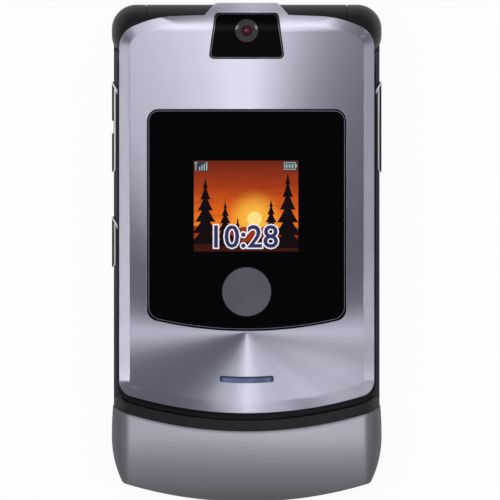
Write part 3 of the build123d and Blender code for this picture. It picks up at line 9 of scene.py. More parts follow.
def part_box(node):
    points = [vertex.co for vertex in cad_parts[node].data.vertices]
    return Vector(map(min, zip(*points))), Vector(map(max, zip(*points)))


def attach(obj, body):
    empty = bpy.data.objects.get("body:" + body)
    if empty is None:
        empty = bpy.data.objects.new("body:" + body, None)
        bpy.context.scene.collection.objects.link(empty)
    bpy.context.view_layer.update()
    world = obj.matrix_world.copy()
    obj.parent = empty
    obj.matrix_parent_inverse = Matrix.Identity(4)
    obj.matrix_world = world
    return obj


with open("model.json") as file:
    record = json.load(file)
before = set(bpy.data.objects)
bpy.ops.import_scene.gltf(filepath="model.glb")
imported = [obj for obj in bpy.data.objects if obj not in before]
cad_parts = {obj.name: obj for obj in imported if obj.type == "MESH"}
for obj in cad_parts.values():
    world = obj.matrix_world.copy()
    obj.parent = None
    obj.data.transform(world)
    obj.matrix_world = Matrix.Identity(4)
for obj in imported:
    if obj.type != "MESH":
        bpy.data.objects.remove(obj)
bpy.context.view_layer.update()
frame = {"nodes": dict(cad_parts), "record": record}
nodes = frame["nodes"]
MM = 0.001


def box_mm(node):
    """Low and high corner of a node, in millimetres."""
    low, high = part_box(node)
    return low / MM, high / MM


def middle_mm(node):
    """Middle of a node's box, in millimetres."""
    low, high = box_mm(node)
    return (low + high) / 2


# ---- Sizes and places shared by the pieces below, in millimetres ----
LID_TOP = box_mm("lid_plate")[1].z
WINDOW_HIGH = box_mm("outer_window")[1]
CAMERA_LOW, CAMERA_HIGH = box_mm("camera_window")
RING_TOP = box_mm("nav_ring")[1].z
KEY_TOP = box_mm("key_5")[1].z
HINGE_Y, HINGE_Z = 43.3, 7.3
SPIN_CENTRE = (0.0, -15.6)
SCREEN = dict(left=-10.35, right=10.1, foot=0.2, top=18.0)
MAIN_SCREEN = dict(left=-19.0, right=19.0, foot=28.0, top=-20.0)


# ---- Node helpers ----
class Graph:
    """Short calls for building a material or a shader group."""

    def __init__(self, tree):
        self.tree = tree

    def add(self, kind, **settings):
        node = self.tree.nodes.new(kind)
        for key, value in settings.items():
            setattr(node, key, value)
        return node

    def feed(self, node, socket, value):
        """Links a socket, or sets a constant; colours are given without their alpha."""
        if value is None:
            return
        target = node.inputs[socket]
        if isinstance(value, bpy.types.NodeSocket):
            self.tree.links.new(value, target)
        else:
            target.default_value = (*value, 1.0) if target.type == "RGBA" else value

    def math(self, operation, *values, clamp=False):
        node = self.add("ShaderNodeMath", operation=operation, use_clamp=clamp)
        for i, value in enumerate(values):
            self.feed(node, i, value)
        return node.outputs[0]

    def linear(self, value, slope, start):
        """Start plus slope times the value."""
        return self.math("MULTIPLY_ADD", value, slope, start)

    def varied(self, value, swing):
        """A shade about 1 from a noise about one half."""
        return self.linear(value, swing, 1.0 - swing / 2)

    def vector(self, operation, a, b=None, scale=None):
        node = self.add("ShaderNodeVectorMath", operation=operation)
        self.feed(node, 0, a)
        self.feed(node, 1, b)
        self.feed(node, "Scale", scale)
        return node.outputs["Value" if operation in ("LENGTH", "DOT_PRODUCT") else "Vector"]

    def spread(self, value, from_low, from_high, to_low=0.0, to_high=1.0, smooth=False):
        """Maps one range of a value to another, and holds it at the ends."""
        kind = "SMOOTHSTEP" if smooth else "LINEAR"
        node = self.add("ShaderNodeMapRange", interpolation_type=kind)
        self.feed(node, "Value", value)
        self.feed(node, "From Min", from_low)
        self.feed(node, "From Max", from_high)
        self.feed(node, "To Min", to_low)
        self.feed(node, "To Max", to_high)
        return node.outputs["Result"]

    def noise(self, place, scale, detail=3.0, roughness=0.5):
        """Noise in space, or along a single value where one is given."""
        single = place.type == "VALUE"
        node = self.add("ShaderNodeTexNoise", noise_dimensions="1D" if single else "3D")
        self.feed(node, "W" if single else "Vector", place)
        self.feed(node, "Scale", scale)
        self.feed(node, "Detail", detail)
        self.feed(node, "Roughness", roughness)
        return node.outputs["Fac"]

    def streaks(self, place, along, fine=16000.0, slow=300.0, detail=4.0, roughness=0.7):
        """Fine lines that run along one axis."""
        node = self.add("ShaderNodeMapping")
        self.feed(node, "Vector", place)
        self.feed(node, "Scale", [slow if axis == along else fine for axis in "XYZ"])
        return self.noise(node.outputs[0], 1.0, detail, roughness)

    def mix(self, factor, a, b):
        node = self.add("ShaderNodeMix", data_type="RGBA")
        self.feed(node, 0, factor)
        self.feed(node, 6, a)
        self.feed(node, 7, b)
        return node.outputs[2]

    def blend(self, factor, a, b):
        node = self.add("ShaderNodeMix", data_type="FLOAT")
        self.feed(node, 0, factor)
        self.feed(node, 2, a)
        self.feed(node, 3, b)
        return node.outputs[0]

    def split(self, vector):
        node = self.add("ShaderNodeSeparateXYZ")
        self.feed(node, 0, vector)
        return node.outputs

    def join(self, x, y, z):
        node = self.add("ShaderNodeCombineXYZ")
        for i, value in enumerate((x, y, z)):
            self.feed(node, i, value)
        return node.outputs[0]

    def place(self):
        return self.add("ShaderNodeTexCoord").outputs["Object"]

    def tint(self, colour, shade):
        """A colour made lighter or darker over the surface."""
        return self.vector("SCALE", colour, scale=shade)

    def rounded(self, radius):
        """Normal that rounds the sharp edges of a piece by a radius in millimetres."""
        node = self.add("ShaderNodeBevel", samples=6)
        self.feed(node, "Radius", radius * MM)
        return node.outputs[0]

    def bump(self, height, distance, strength, normal):
        node = self.add("ShaderNodeBump")
        self.feed(node, "Height", height)
        self.feed(node, "Distance", distance * MM)
        self.feed(node, "Strength", strength)
        self.feed(node, "Normal", normal)
        return node.outputs[0]

    def group(self, tree, **values):
        node = self.add("ShaderNodeGroup", node_tree=tree)
        for key, value in values.items():
            self.feed(node, key, value)
        return node.outputs


FLOAT, VECTOR = "NodeSocketFloat", "NodeSocketVector"


def shader_group(name, inputs, outputs):
    """An empty shader group; an input is a name, a kind and a start value or None."""
    tree = bpy.data.node_groups.new(name, "ShaderNodeTree")
    for label, kind, start in inputs:
        socket = tree.interface.new_socket(label, in_out="INPUT", socket_type=kind)
        if start is not None:
            socket.default_value = start
    for label in outputs:
        tree.interface.new_socket(label, in_out="OUTPUT", socket_type=FLOAT)
    g = Graph(tree)
    return g, g.add("NodeGroupInput").outputs, g.add("NodeGroupOutput")


# ---- Shared surface effects ----
def make_moulded_grain():
    """Fine spark-eroded texture of moulded plastic, with slow colour drift and dust."""
    inputs = [("Place", VECTOR, None), ("Scale", FLOAT, 9000.0)]
    g, given, out = shader_group("moulded_grain", inputs, ["Height", "Shade", "Dust"])
    fine = g.noise(given["Place"], given["Scale"], 4.0, 0.6)
    slow = g.noise(given["Place"], 120.0, 2.0)
    specks = g.noise(given["Place"], 2600.0, 1.0)
    g.feed(out, "Height", fine)
    g.feed(out, "Shade", g.varied(slow, 0.15))
    g.feed(out, "Dust", g.spread(specks, 0.70, 0.78))
    return g.tree


def make_spun_lines():
    """Concentric lathe lines about a centre, and faint rays that run across them."""
    inputs = [("Place", VECTOR, None), ("Centre", VECTOR, None)]
    g, given, out = shader_group("spun_lines", inputs, ["Lines", "Rays"])
    x, y, _ = g.split(g.vector("SUBTRACT", given["Place"], given["Centre"]))
    flat = g.join(x, y, 0.0)
    radius = g.vector("LENGTH", flat)
    coarse = g.noise(g.math("MULTIPLY", radius, 2600.0), 1.0, 3.0, 0.7)
    fine = g.noise(g.math("MULTIPLY", radius, 16000.0), 1.0, 5.0, 0.85)
    lines = g.blend(0.55, coarse, fine)
    rays = g.noise(g.vector("SCALE", g.vector("NORMALIZE", flat), scale=9.0), 1.0, 4.0, 0.6)
    g.feed(out, "Lines", lines)
    g.feed(out, "Rays", rays)
    return g.tree


def make_edge_rub():
    """Mask of rubbed patches that gathers where the rounded normal leaves the true one."""
    inputs = [("Place", VECTOR, None), ("Rounded", VECTOR, None), ("Amount", FLOAT, 0.5)]
    g, given, out = shader_group("edge_rub", inputs, ["Mask"])
    true = g.add("ShaderNodeNewGeometry").outputs["True Normal"]
    turn = g.math("SUBTRACT", 1.0, g.vector("DOT_PRODUCT", given["Rounded"], true))
    edge = g.spread(turn, 0.005, 0.12)
    patch = g.spread(g.noise(given["Place"], 900.0, 4.0, 0.65), 0.35, 0.65)
    mask = g.math("MULTIPLY", g.math("MULTIPLY", edge, patch), given["Amount"], clamp=True)
    g.feed(out, "Mask", mask)
    return g.tree


MOULDED_GRAIN = make_moulded_grain()
SPUN_LINES = make_spun_lines()
EDGE_RUB = make_edge_rub()


# ---- Material helpers ----
def surface(name, **constants):
    """A new material with its Principled shader; constants are set on the shader's own sockets."""
    material = bpy.data.materials.new(name)
    material.use_nodes = True
    g = Graph(material.node_tree)
    shader = material.node_tree.nodes["Principled BSDF"]
    for key, value in constants.items():
        g.feed(shader, key.replace("_", " "), value)
    return material, g, shader


def worn_edges(g, place, normal, amount):
    """Mask of the edges that the hand has rubbed."""
    return g.group(EDGE_RUB, Place=place, Rounded=normal, Amount=amount)["Mask"]


def moulded(name, colour, roughness, grain_scale, grain_depth, edge=0.12, rub=0.3, **constants):
    """Moulded plastic or rubber: fine grain, slow drift of colour, rubbed edges, a little dust."""
    dust_colour = (0.5, 0.48, 0.45)
    material, g, shader = surface(name, **constants)
    place = g.place()
    grain = g.group(MOULDED_GRAIN, Place=place, Scale=grain_scale)
    edge_normal = g.rounded(edge)
    worn = worn_edges(g, place, edge_normal, rub)
    lighter = tuple(0.06 + 1.5 * c for c in colour)
    base = g.mix(worn, g.tint(colour, grain["Shade"]), lighter)
    g.feed(shader, "Base Color", g.mix(g.math("MULTIPLY", grain["Dust"], 0.05), base, dust_colour))
    rough = g.linear(grain["Height"], 0.12, roughness - 0.06)
    g.feed(shader, "Roughness", g.math("SUBTRACT", rough, g.math("MULTIPLY", worn, 0.12)))
    g.feed(shader, "Normal", g.bump(grain["Height"], grain_depth, 1.0, edge_normal))
    return material


def drawn_metal(name, colour, roughness, along="X", stretch=0.6, edge=0.12, rub=0.35, metallic=1.0):
    """Brushed or plated metal with fine lines along one axis."""
    material, g, shader = surface(name, Metallic=metallic, Anisotropic=stretch)
    place = g.place()
    lines = g.streaks(place, along)
    slow = g.noise(place, 160.0, 2.0)
    edge_normal = g.rounded(edge)
    worn = worn_edges(g, place, edge_normal, rub)
    shade = g.math("ADD", g.varied(lines, 0.22), g.linear(slow, 0.10, -0.05))
    lighter = tuple(0.1 + 1.2 * c for c in colour)
    g.feed(shader, "Base Color", g.mix(worn, g.tint(colour, shade), lighter))
    rough = g.linear(lines, 0.14, roughness - 0.07)
    g.feed(shader, "Roughness", g.math("SUBTRACT", rough, g.math("MULTIPLY", worn, 0.1)))
    g.feed(shader, "Normal", g.bump(lines, 0.0015, 0.6, edge_normal))
    return material


def outward(g, place, centre):
    """Level way out from a turning centre in millimetres, along which the gloss is stretched."""
    x, y, _ = g.split(g.vector("SUBTRACT", place, (centre[0] * MM, centre[1] * MM, 0.0)))
    return g.vector("NORMALIZE", g.join(x, y, 0.0))


def distance_from(g, place, middle):
    """Level distance from an upright axis, in metres."""
    x, y, _ = g.split(g.vector("SUBTRACT", place, (middle.x * MM, middle.y * MM, 0.0)))
    return g.vector("LENGTH", g.join(x, y, 0.0))


# ---- Lid, chin and frame finishes ----
def eased_foot(g, place, normal):
    """The skin's normal; along the foot of the lid the bevel strip eases into the flat face."""
    ease_start, ease_end = -24.5, -27.5
    turned = g.add(
        "ShaderNodeVectorTransform", vector_type="NORMAL", convert_from="OBJECT", convert_to="WORLD"
    )
    g.feed(turned, 0, (0.0, 0.0, 1.0))
    face_up = turned.outputs[0]
    _, y, _ = g.split(place)
    along_foot = g.spread(y, ease_start * MM, ease_end * MM, 0.0, 0.85, smooth=True)
    near_flat = g.spread(g.vector("DOT_PRODUCT", normal, face_up), 0.90, 0.95)
    node = g.add("ShaderNodeMix", data_type="VECTOR")
    g.feed(node, 0, g.math("MULTIPLY", along_foot, near_flat))
    g.feed(node, 4, normal)
    g.feed(node, 5, face_up)
    return g.vector("NORMALIZE", node.outputs[1])


def make_lid_metal():
    """Anodised lid skin, lathe-turned: rings about one centre, a stretched gloss across them."""
    anodised, rubbed = (0.64, 0.635, 0.745), (0.80, 0.79, 0.88)
    material, g, shader = surface("spun_lid_metal", Metallic=1.0, Anisotropic=1.0)
    place = g.place()
    spun = g.group(SPUN_LINES, Place=place, Centre=(SPIN_CENTRE[0] * MM, SPIN_CENTRE[1] * MM, 0.0))
    edge_normal = eased_foot(g, place, g.rounded(0.14))
    worn = worn_edges(g, place, edge_normal, 0.3)
    shade = g.math("ADD", g.varied(spun["Lines"], 0.30), g.linear(spun["Rays"], 0.16, -0.08))
    g.feed(shader, "Base Color", g.mix(worn, g.tint(anodised, shade), rubbed))
    rough = g.linear(spun["Lines"], 0.12, 0.31)
    g.feed(shader, "Roughness", g.math("SUBTRACT", rough, g.math("MULTIPLY", worn, 0.1)))
    g.feed(shader, "Tangent", outward(g, place, SPIN_CENTRE))
    g.feed(shader, "Normal", g.bump(spun["Lines"], 0.0020, 0.3, edge_normal))
    return material


def make_chin_paint():
    """Satin metallic paint over the moulded chin, with fine flakes; its colour darkens as the
    surface turns away from the camera, a paint flop pushed into painted shade.
    """
    paint, rubbed = (0.62, 0.60, 0.68), (0.60, 0.585, 0.65)
    # Painted shade: how fast and how far the paint colour darkens as the chin turns away from the
    # camera.
    soft_edge, painted_shade_slope, painted_shade_floor = 1.3, 1.25, 0.2
    material, g, shader = surface("chin_metallic_paint", Metallic=0.3, Specular_IOR_Level=0.25)
    place = g.place()
    flakes = g.noise(place, 14000.0, 2.0, 0.6)
    slow = g.noise(place, 90.0, 3.0)
    edge_normal = g.rounded(soft_edge)
    worn = worn_edges(g, place, edge_normal, 0.2)
    # Painted shade: the base colour is darkened by the facing angle, down to a fifth of itself, so
    # the chin's lower face reads as falling into shade.
    facing = g.add("ShaderNodeLayerWeight")
    g.feed(facing, "Blend", 0.5)
    g.feed(facing, "Normal", edge_normal)
    lean = g.math("SQRT", facing.outputs["Facing"])
    painted_shade = g.math("MAXIMUM", g.linear(lean, -painted_shade_slope, 1.0), painted_shade_floor)
    shade = g.math("ADD", g.varied(flakes, 0.20), g.linear(slow, 0.06, -0.03))
    base = g.tint(paint, g.math("MULTIPLY", shade, painted_shade))
    g.feed(shader, "Base Color", g.mix(worn, base, rubbed))
    g.feed(shader, "Roughness", g.linear(flakes, 0.12, 0.42))
    g.feed(shader, "Normal", g.bump(flakes, 0.0015, 0.5, edge_normal))
    return material


def make_frame_metal():
    """Dark drawn metal of the base frame; its hinge knuckles wear the soft black coat."""
    dark_metal, rubbed = (0.075, 0.075, 0.09), (0.20, 0.20, 0.22)
    coat_black = (0.009, 0.009, 0.0105)
    coat_start, coat_end = 39.5, 39.7
    material, g, shader = surface("frame_dark_metal", Anisotropic=0.3, Specular_IOR_Level=0.35)
    place = g.place()
    _, y, _ = g.split(place)
    coat = g.spread(y, coat_start * MM, coat_end * MM)
    lines = g.streaks(place, "Y")
    grain = g.group(MOULDED_GRAIN, Place=place, Scale=11000.0)
    edge_normal = g.rounded(0.14)
    worn = worn_edges(g, place, edge_normal, 0.3)
    metal = g.tint(dark_metal, g.spread(lines, 0.0, 1.0, 0.88, 1.12))
    metal = g.mix(worn, metal, rubbed)
    g.feed(shader, "Base Color", g.mix(coat, metal, g.tint(coat_black, grain["Shade"])))
    g.feed(shader, "Metallic", g.math("SUBTRACT", 1.0, coat))
    metal_rough = g.spread(lines, 0.0, 1.0, 0.28, 0.42)
    coat_rough = g.spread(grain["Height"], 0.0, 1.0, 0.42, 0.54)
    g.feed(shader, "Roughness", g.blend(coat, metal_rough, coat_rough))
    g.feed(shader, "Normal", g.bump(g.blend(coat, lines, grain["Height"]), 0.002, 0.7, edge_normal))
    return material


def make_badge_metal():
    """Small turned disc, bare, with its own fine rings."""
    turned = (0.135, 0.135, 0.172)
    material, g, shader = surface("badge_turned_metal", Metallic=0.55, Anisotropic=0.3)
    place = g.place()
    middle = middle_mm("badge")
    spun = g.group(SPUN_LINES, Place=place, Centre=(middle.x * MM, middle.y * MM, 0.0))
    g.feed(shader, "Base Color", g.tint(turned, g.varied(spun["Lines"], 0.2)))
    g.feed(shader, "Roughness", g.linear(spun["Lines"], 0.14, 0.40))
    g.feed(shader, "Tangent", outward(g, place, middle))
    g.feed(shader, "Normal", g.bump(spun["Lines"], 0.0015, 0.4, g.rounded(0.08)))
    return material


# ---- Windows, screens and lights ----
def between(g, value, low, high):
    """Mask of a value that lies between two others."""
    above = g.math("GREATER_THAN", value, low)
    return g.math("MULTIPLY", above, g.math("LESS_THAN", value, high))


def sunset_picture(g, place, left, right, foot, top):
    """Evening sky over hills, from the place on the screen; sides and ends are in millimetres."""
    sky_ramp = (
        (0.0, (0.92, 0.30, 0.02)),
        (0.25, (0.95, 0.24, 0.014)),
        (0.45, (0.74, 0.12, 0.010)),
        (0.72, (0.36, 0.040, 0.008)),
        (1.0, (0.15, 0.018, 0.008)),
    )
    cloud, sun_glow, sun_face = (0.17, 0.020, 0.008), (1.0, 0.52, 0.06), (1.0, 0.76, 0.24)
    far_hills, near_hills = (0.30, 0.036, 0.008), (0.045, 0.008, 0.005)
    sun_u, sun_v, sun_radius, glow_radius, soft = 0.58, 0.36, 0.08, 0.34, 0.005
    banks_across, banks_up = 2.2, 9.0
    x, y, _ = g.split(place)
    u = g.spread(x, left * MM, right * MM)
    v = g.spread(y, foot * MM, top * MM)
    ramp = g.add("ShaderNodeValToRGB")
    g.feed(ramp, "Fac", v)
    stops = ramp.color_ramp.elements
    for position, _ in sky_ramp[1:-1]:
        stops.new(position)
    for stop, (_, colour) in zip(stops, sky_ramp):
        stop.color = (*colour, 1.0)
    banks = g.join(g.math("MULTIPLY", u, banks_across), g.math("MULTIPLY", v, banks_up), 0.0)
    cloudy = g.spread(g.noise(banks, 1.6, 4.0), 0.5, 0.8, 0.0, 0.55)
    sky = g.mix(cloudy, ramp.outputs[0], cloud)
    du = g.math("MULTIPLY", g.math("SUBTRACT", u, sun_u), abs((right - left) / (top - foot)))
    dv = g.math("SUBTRACT", v, sun_v)
    away = g.vector("LENGTH", g.join(du, dv, 0.0))
    sky = g.mix(g.spread(away, sun_radius, glow_radius, 0.85, 0.0, smooth=True), sky, sun_glow)
    sky = g.mix(g.spread(away, sun_radius - soft, sun_radius + soft, 1.0, 0.0), sky, sun_face)

    def ridge(height, swing, scale, seed):
        profile = g.noise(g.math("ADD", u, seed), scale, 4.0, 0.55)
        line = g.linear(profile, swing, height - swing / 2)
        return g.spread(g.math("SUBTRACT", line, v), -0.004, 0.004)

    far_ridge = ridge(height=0.26, swing=0.22, scale=2.4, seed=3.1)
    near_ridge = ridge(height=0.13, swing=0.18, scale=3.6, seed=9.7)
    picture = g.mix(near_ridge, g.mix(far_ridge, sky, far_hills), near_hills)
    return picture, u, v


def fir(g, u, v, middle, foot, height, width):
    """Mask of one fir: tiers of boughs that narrow to the top."""
    tiers, notch = 6.0, 0.55
    up = g.math("DIVIDE", g.math("SUBTRACT", v, foot), height)
    tier = g.math("FRACT", g.math("MULTIPLY", up, tiers))
    taper = g.math("SUBTRACT", 1.0, up)
    half = g.math("MULTIPLY", g.math("MULTIPLY", taper, g.linear(tier, -notch, 1.0)), width / 2)
    inside = g.math("LESS_THAN", g.math("ABSOLUTE", g.math("SUBTRACT", u, middle)), half)
    return g.math("MULTIPLY", inside, between(g, up, 0.0, 1.0))


def gloss_black(name, specular, matt=0.0, **constants):
    """Hard black lacquer: deep gloss with faint wipe marks, or a satin one where matt is given."""
    deep, wiped = (0.0008, 0.0008, 0.001), (0.0016, 0.0016, 0.0022)
    material, g, shader = surface(name, IOR=1.5, Specular_IOR_Level=specular, **constants)
    place = g.place()
    smear = g.noise(place, 90.0, 4.0, 0.6)
    fine = g.noise(place, 1800.0, 3.0, 0.7)
    g.feed(shader, "Base Color", g.mix(smear, deep, wiped))
    rough = g.math("ADD", g.math("MULTIPLY", smear, 0.06), g.math("MULTIPLY", fine, 0.03))
    g.feed(shader, "Roughness", g.math("ADD", rough, matt))
    g.feed(shader, "Normal", g.rounded(0.1))
    return material, g, shader, place


def make_outer_window():
    """The outer window: black lacquer all round, and the lit screen shining through its middle."""
    fir_dark, unlit = (0.006, 0.003, 0.004), (0.0, 0.0, 0.0)
    firs = (
        dict(middle=0.11, foot=0.08, height=0.74, width=0.30),
        dict(middle=0.30, foot=0.06, height=0.50, width=0.21),
        dict(middle=0.42, foot=0.08, height=0.30, width=0.13),
        dict(middle=0.74, foot=0.06, height=0.52, width=0.22),
        dict(middle=0.90, foot=0.04, height=0.84, width=0.31),
    )
    dot_pitch, rim = 0.19, 0.0001
    material, g, shader, place = gloss_black("outer_window_lit_screen", 0.09, Emission_Strength=1.0)
    picture, u, v = sunset_picture(g, place, **SCREEN)
    for one in firs:
        picture = g.mix(fir(g, u, v, **one), picture, fir_dark)
    _, y, _ = g.split(place)
    dots = g.math("FRACT", g.math("MULTIPLY", y, 1.0 / (dot_pitch * MM)))
    lit = g.tint(picture, g.spread(dots, 0.0, 1.0, 0.93, 1.05))
    on_screen = g.math("MULTIPLY", between(g, u, rim, 1.0 - rim), between(g, v, rim, 1.0 - rim))
    g.feed(shader, "Emission Color", g.mix(on_screen, unlit, lit))
    return material


def make_main_picture():
    """Lit main screen: the same dusk, wide and calm, without words. Its foot lies at the hinge."""
    unlit = (0.01, 0.01, 0.012)
    material, g, shader = surface(
        "main_screen_picture", Base_Color=unlit, Emission_Strength=0.9, IOR=1.5
    )
    place = g.place()
    g.feed(shader, "Emission Color", sunset_picture(g, place, **MAIN_SCREEN)[0])
    g.feed(shader, "Roughness", g.linear(g.noise(place, 700.0), 0.04, 0.06))
    return material


def make_clear_window():
    """Clear hard-coated window over the main screen."""
    clear = (0.9, 0.92, 0.93)
    material, g, shader = surface(
        "main_window_clear", Base_Color=clear, IOR=1.49, Transmission_Weight=1.0
    )
    smear = g.noise(g.place(), 90.0, 4.0, 0.6)
    g.feed(shader, "Roughness", g.math("MULTIPLY", smear, 0.05))
    return material


def make_blue_light():
    """Frosted light pipe with a soft blue glow, darker along its hinge side and at its ends."""
    dim_glow, full_glow = (0.045, 0.075, 0.145), (0.085, 0.125, 0.245)
    shadow = (0.004, 0.006, 0.022)
    deep_body, pale_body = (0.010, 0.016, 0.03), (0.018, 0.026, 0.045)
    bow_radius, edge_start, edge_end, end_fade, end_dark = 55.0, 0.72, 1.02, 0.75, 0.15
    material, g, shader = surface("blue_light_pipe", Emission_Strength=1.0, IOR=1.45)
    place = g.place()
    low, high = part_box("light_pipe")
    x, y, _ = g.split(place)
    bow = g.math("DIVIDE", g.math("MULTIPLY", x, x), 2 * bow_radius * MM)
    up = g.math("SUBTRACT", g.math("SUBTRACT", y, bow), low.y)
    edge = g.spread(up, edge_start * MM, edge_end * MM, smooth=True)
    far = g.math("ABSOLUTE", x)
    ends = g.spread(far, high.x - end_fade * MM, high.x - end_dark * MM, smooth=True)
    frost = g.noise(place, 5200.0, 3.0)
    slow = g.noise(place, 420.0, 2.0)
    glow = g.mix(g.spread(slow, 0.35, 0.65), dim_glow, full_glow)
    g.feed(shader, "Emission Color", g.mix(g.math("MAXIMUM", edge, ends), glow, shadow))
    g.feed(shader, "Base Color", g.mix(frost, deep_body, pale_body))
    g.feed(shader, "Roughness", g.linear(frost, 0.2, 0.26))
    g.feed(shader, "Normal", g.rounded(0.1))
    return material


def make_lens_glass():
    """Coated camera lens: a red cast in its middle, dark rings round it."""
    red_cast, dark_glass = (0.115, 0.0015, 0.013), (0.010, 0.006, 0.007)
    wall_grey, rim_grey = (0.026, 0.026, 0.028), (0.024, 0.024, 0.026)
    cast_radii, wall_radii, rim_radii = (0.62, 0.95), (1.08, 1.16), (1.70, 1.78)
    material, g, shader = surface(
        "camera_lens_glass", IOR=1.6, Coat_Weight=0.2, Coat_Roughness=0.06
    )
    place = g.place()
    away = distance_from(g, place, middle_mm("camera_lens"))

    def beyond(radii):
        return g.spread(away, radii[0] * MM, radii[1] * MM, smooth=True)

    wall = beyond(wall_radii)
    colour = g.mix(beyond(cast_radii), red_cast, dark_glass)
    colour = g.mix(wall, colour, wall_grey)
    g.feed(shader, "Base Color", g.mix(beyond(rim_radii), colour, rim_grey))
    grime = g.math("MULTIPLY", g.noise(place, 3000.0, 2.0), 0.1)
    g.feed(shader, "Roughness", g.math("ADD", grime, g.blend(wall, 0.05, 0.5)))
    return material


def make_lit_ink(name, colour):
    """Lit marks of a screen."""
    unlit = (0.01, 0.01, 0.012)
    material, g, shader = surface(name, Base_Color=unlit, Emission_Strength=1.0, Roughness=0.3)
    grain = g.noise(g.place(), 4000.0, 2.0)
    g.feed(shader, "Emission Color", g.tint(colour, g.spread(grain, 0.3, 0.7, 0.95, 1.03)))
    return material


# ---- Printed marks, trim and inner pieces ----
def make_printed_ink(name, colour):
    """Satin ink of a printed mark, a little uneven."""
    material, g, shader = surface(name)
    grain = g.noise(g.place(), 5200.0, 3.0)
    g.feed(shader, "Base Color", g.tint(colour, g.spread(grain, 0.2, 0.8, 0.9, 1.06)))
    g.feed(shader, "Roughness", g.spread(grain, 0.0, 1.0, 0.36, 0.52))
    return material


def make_bright_chrome():
    """Plated strip of the side keys, with hair scratches."""
    chrome = (0.86, 0.84, 0.83)
    material, g, shader = surface("bright_chrome_strip", Metallic=1.0)
    hairs = g.streaks(g.place(), "Y", fine=9000.0, slow=500.0, detail=3.0, roughness=0.6)
    g.feed(shader, "Base Color", g.tint(chrome, g.spread(hairs, 0.2, 0.8, 0.93, 1.04)))
    g.feed(shader, "Roughness", g.spread(hairs, 0.0, 1.0, 0.24, 0.38))
    return material


def make_circuit_board():
    """Green solder mask with copper runs under it."""
    dark_mask, light_mask = (0.008, 0.055, 0.03), (0.014, 0.085, 0.045)
    copper_run = (0.05, 0.15, 0.06)
    material, g, shader = surface("circuit_board_mask", Coat_Weight=0.3, Coat_Roughness=0.2)
    place = g.place()
    cells = g.add("ShaderNodeTexVoronoi", distance="CHEBYCHEV", feature="DISTANCE_TO_EDGE")
    g.feed(cells, "Vector", place)
    g.feed(cells, "Scale", 700.0)
    runs = g.spread(cells.outputs["Distance"], 0.04, 0.07)
    mottle = g.noise(place, 400.0, 3.0)
    g.feed(shader, "Base Color", g.mix(runs, copper_run, g.mix(mottle, dark_mask, light_mask)))
    g.feed(shader, "Roughness", g.linear(mottle, 0.15, 0.3))
    g.feed(shader, "Normal", g.bump(runs, 0.01, 0.5, g.rounded(0.1)))
    return material


def make_battery_wrap():
    """Grey shrink film over the cell, with faint wrinkles."""
    dark_film, light_film = (0.06, 0.065, 0.075), (0.10, 0.105, 0.12)
    material, g, shader = surface("battery_wrap_film", Coat_Weight=0.4, Coat_Roughness=0.15)
    place = g.place()
    wrinkle = g.noise(place, 260.0, 4.0, 0.6)
    g.feed(shader, "Base Color", g.mix(wrinkle, dark_film, light_film))
    g.feed(shader, "Roughness", g.linear(g.noise(place, 5000.0, 2.0), 0.15, 0.32))
    g.feed(shader, "Normal", g.bump(wrinkle, 0.03, 0.5, g.rounded(0.3)))
    return material


def make_dome_film():
    """Clear film over the switch domes."""
    grey_film, pale_film = (0.45, 0.47, 0.50), (0.58, 0.60, 0.62)
    material, g, shader = surface("dome_film_polyester", Coat_Weight=0.5, Coat_Roughness=0.1)
    mottle = g.noise(g.place(), 600.0, 3.0)
    g.feed(shader, "Base Color", g.mix(mottle, grey_film, pale_film))
    g.feed(shader, "Roughness", g.linear(mottle, 0.2, 0.25))
    return material


# ---- Finish of each slot, and of the scene's own pieces ----
FINISHES = {
    "lid_metal": make_lid_metal(),
    "chin_paint": make_chin_paint(),
    "soft_black": moulded(
        "soft_touch_black", (0.010, 0.010, 0.0115), roughness=0.46, grain_scale=11000.0,
        grain_depth=0.003, edge=0.16, rub=0.25, Specular_IOR_Level=0.3,
    ),
    "frame_metal": make_frame_metal(),
    "cover_metal": drawn_metal(
        "back_cover_metal", (0.50, 0.49, 0.56), roughness=0.36, along="Y", stretch=0.75
    ),
    "black_window": gloss_black("black_window_satin", specular=0.05, matt=0.28)[0],
    "badge_metal": make_badge_metal(),
    "blue_light": make_blue_light(),
    "lens_glass": make_lens_glass(),
    "display": make_main_picture(),
    "module_black": moulded(
        "module_black_plastic", (0.02, 0.02, 0.022), roughness=0.5, grain_scale=7000.0,
        grain_depth=0.004, edge=0.1,
    ),
    "circuit_board": make_circuit_board(),
    "dome_film": make_dome_film(),
    "rubber": moulded(
        "bumper_rubber", (0.03, 0.03, 0.032), roughness=0.7, grain_scale=6000.0,
        grain_depth=0.006, edge=0.2, rub=0.1,
    ),
    "steel": drawn_metal(
        "plated_steel", (0.55, 0.54, 0.52), roughness=0.28, stretch=0.3, edge=0.06
    ),
    "battery_wrap": make_battery_wrap(),
    "key_metal": drawn_metal(
        "key_satin_metal", (0.25, 0.25, 0.285), roughness=0.38, stretch=0.5, metallic=0.5
    ),
    "key_sheet": drawn_metal(
        "key_sheet_metal", (0.17, 0.17, 0.195), roughness=0.40, stretch=0.5, edge=0.08,
        metallic=0.5,
    ),
    "side_chrome": moulded(
        "side_key_black", (0.012, 0.012, 0.014), roughness=0.34, grain_scale=7000.0,
        grain_depth=0.002,
    ),
    "latch_plastic": moulded(
        "latch_plastic", (0.03, 0.03, 0.034), roughness=0.5, grain_scale=6000.0,
        grain_depth=0.004, edge=0.15,
    ),
}
OUTER_WINDOW = make_outer_window()
MAIN_CLEAR = make_clear_window()
CHROME = make_bright_chrome()
RIM_GREY = drawn_metal(
    "window_rim_metal", (0.20, 0.20, 0.23), roughness=0.34, stretch=0.2, edge=0.03, rub=0.2
)
CLOCK_NAVY = make_lit_ink("clock_navy", (0.008, 0.006, 0.085))
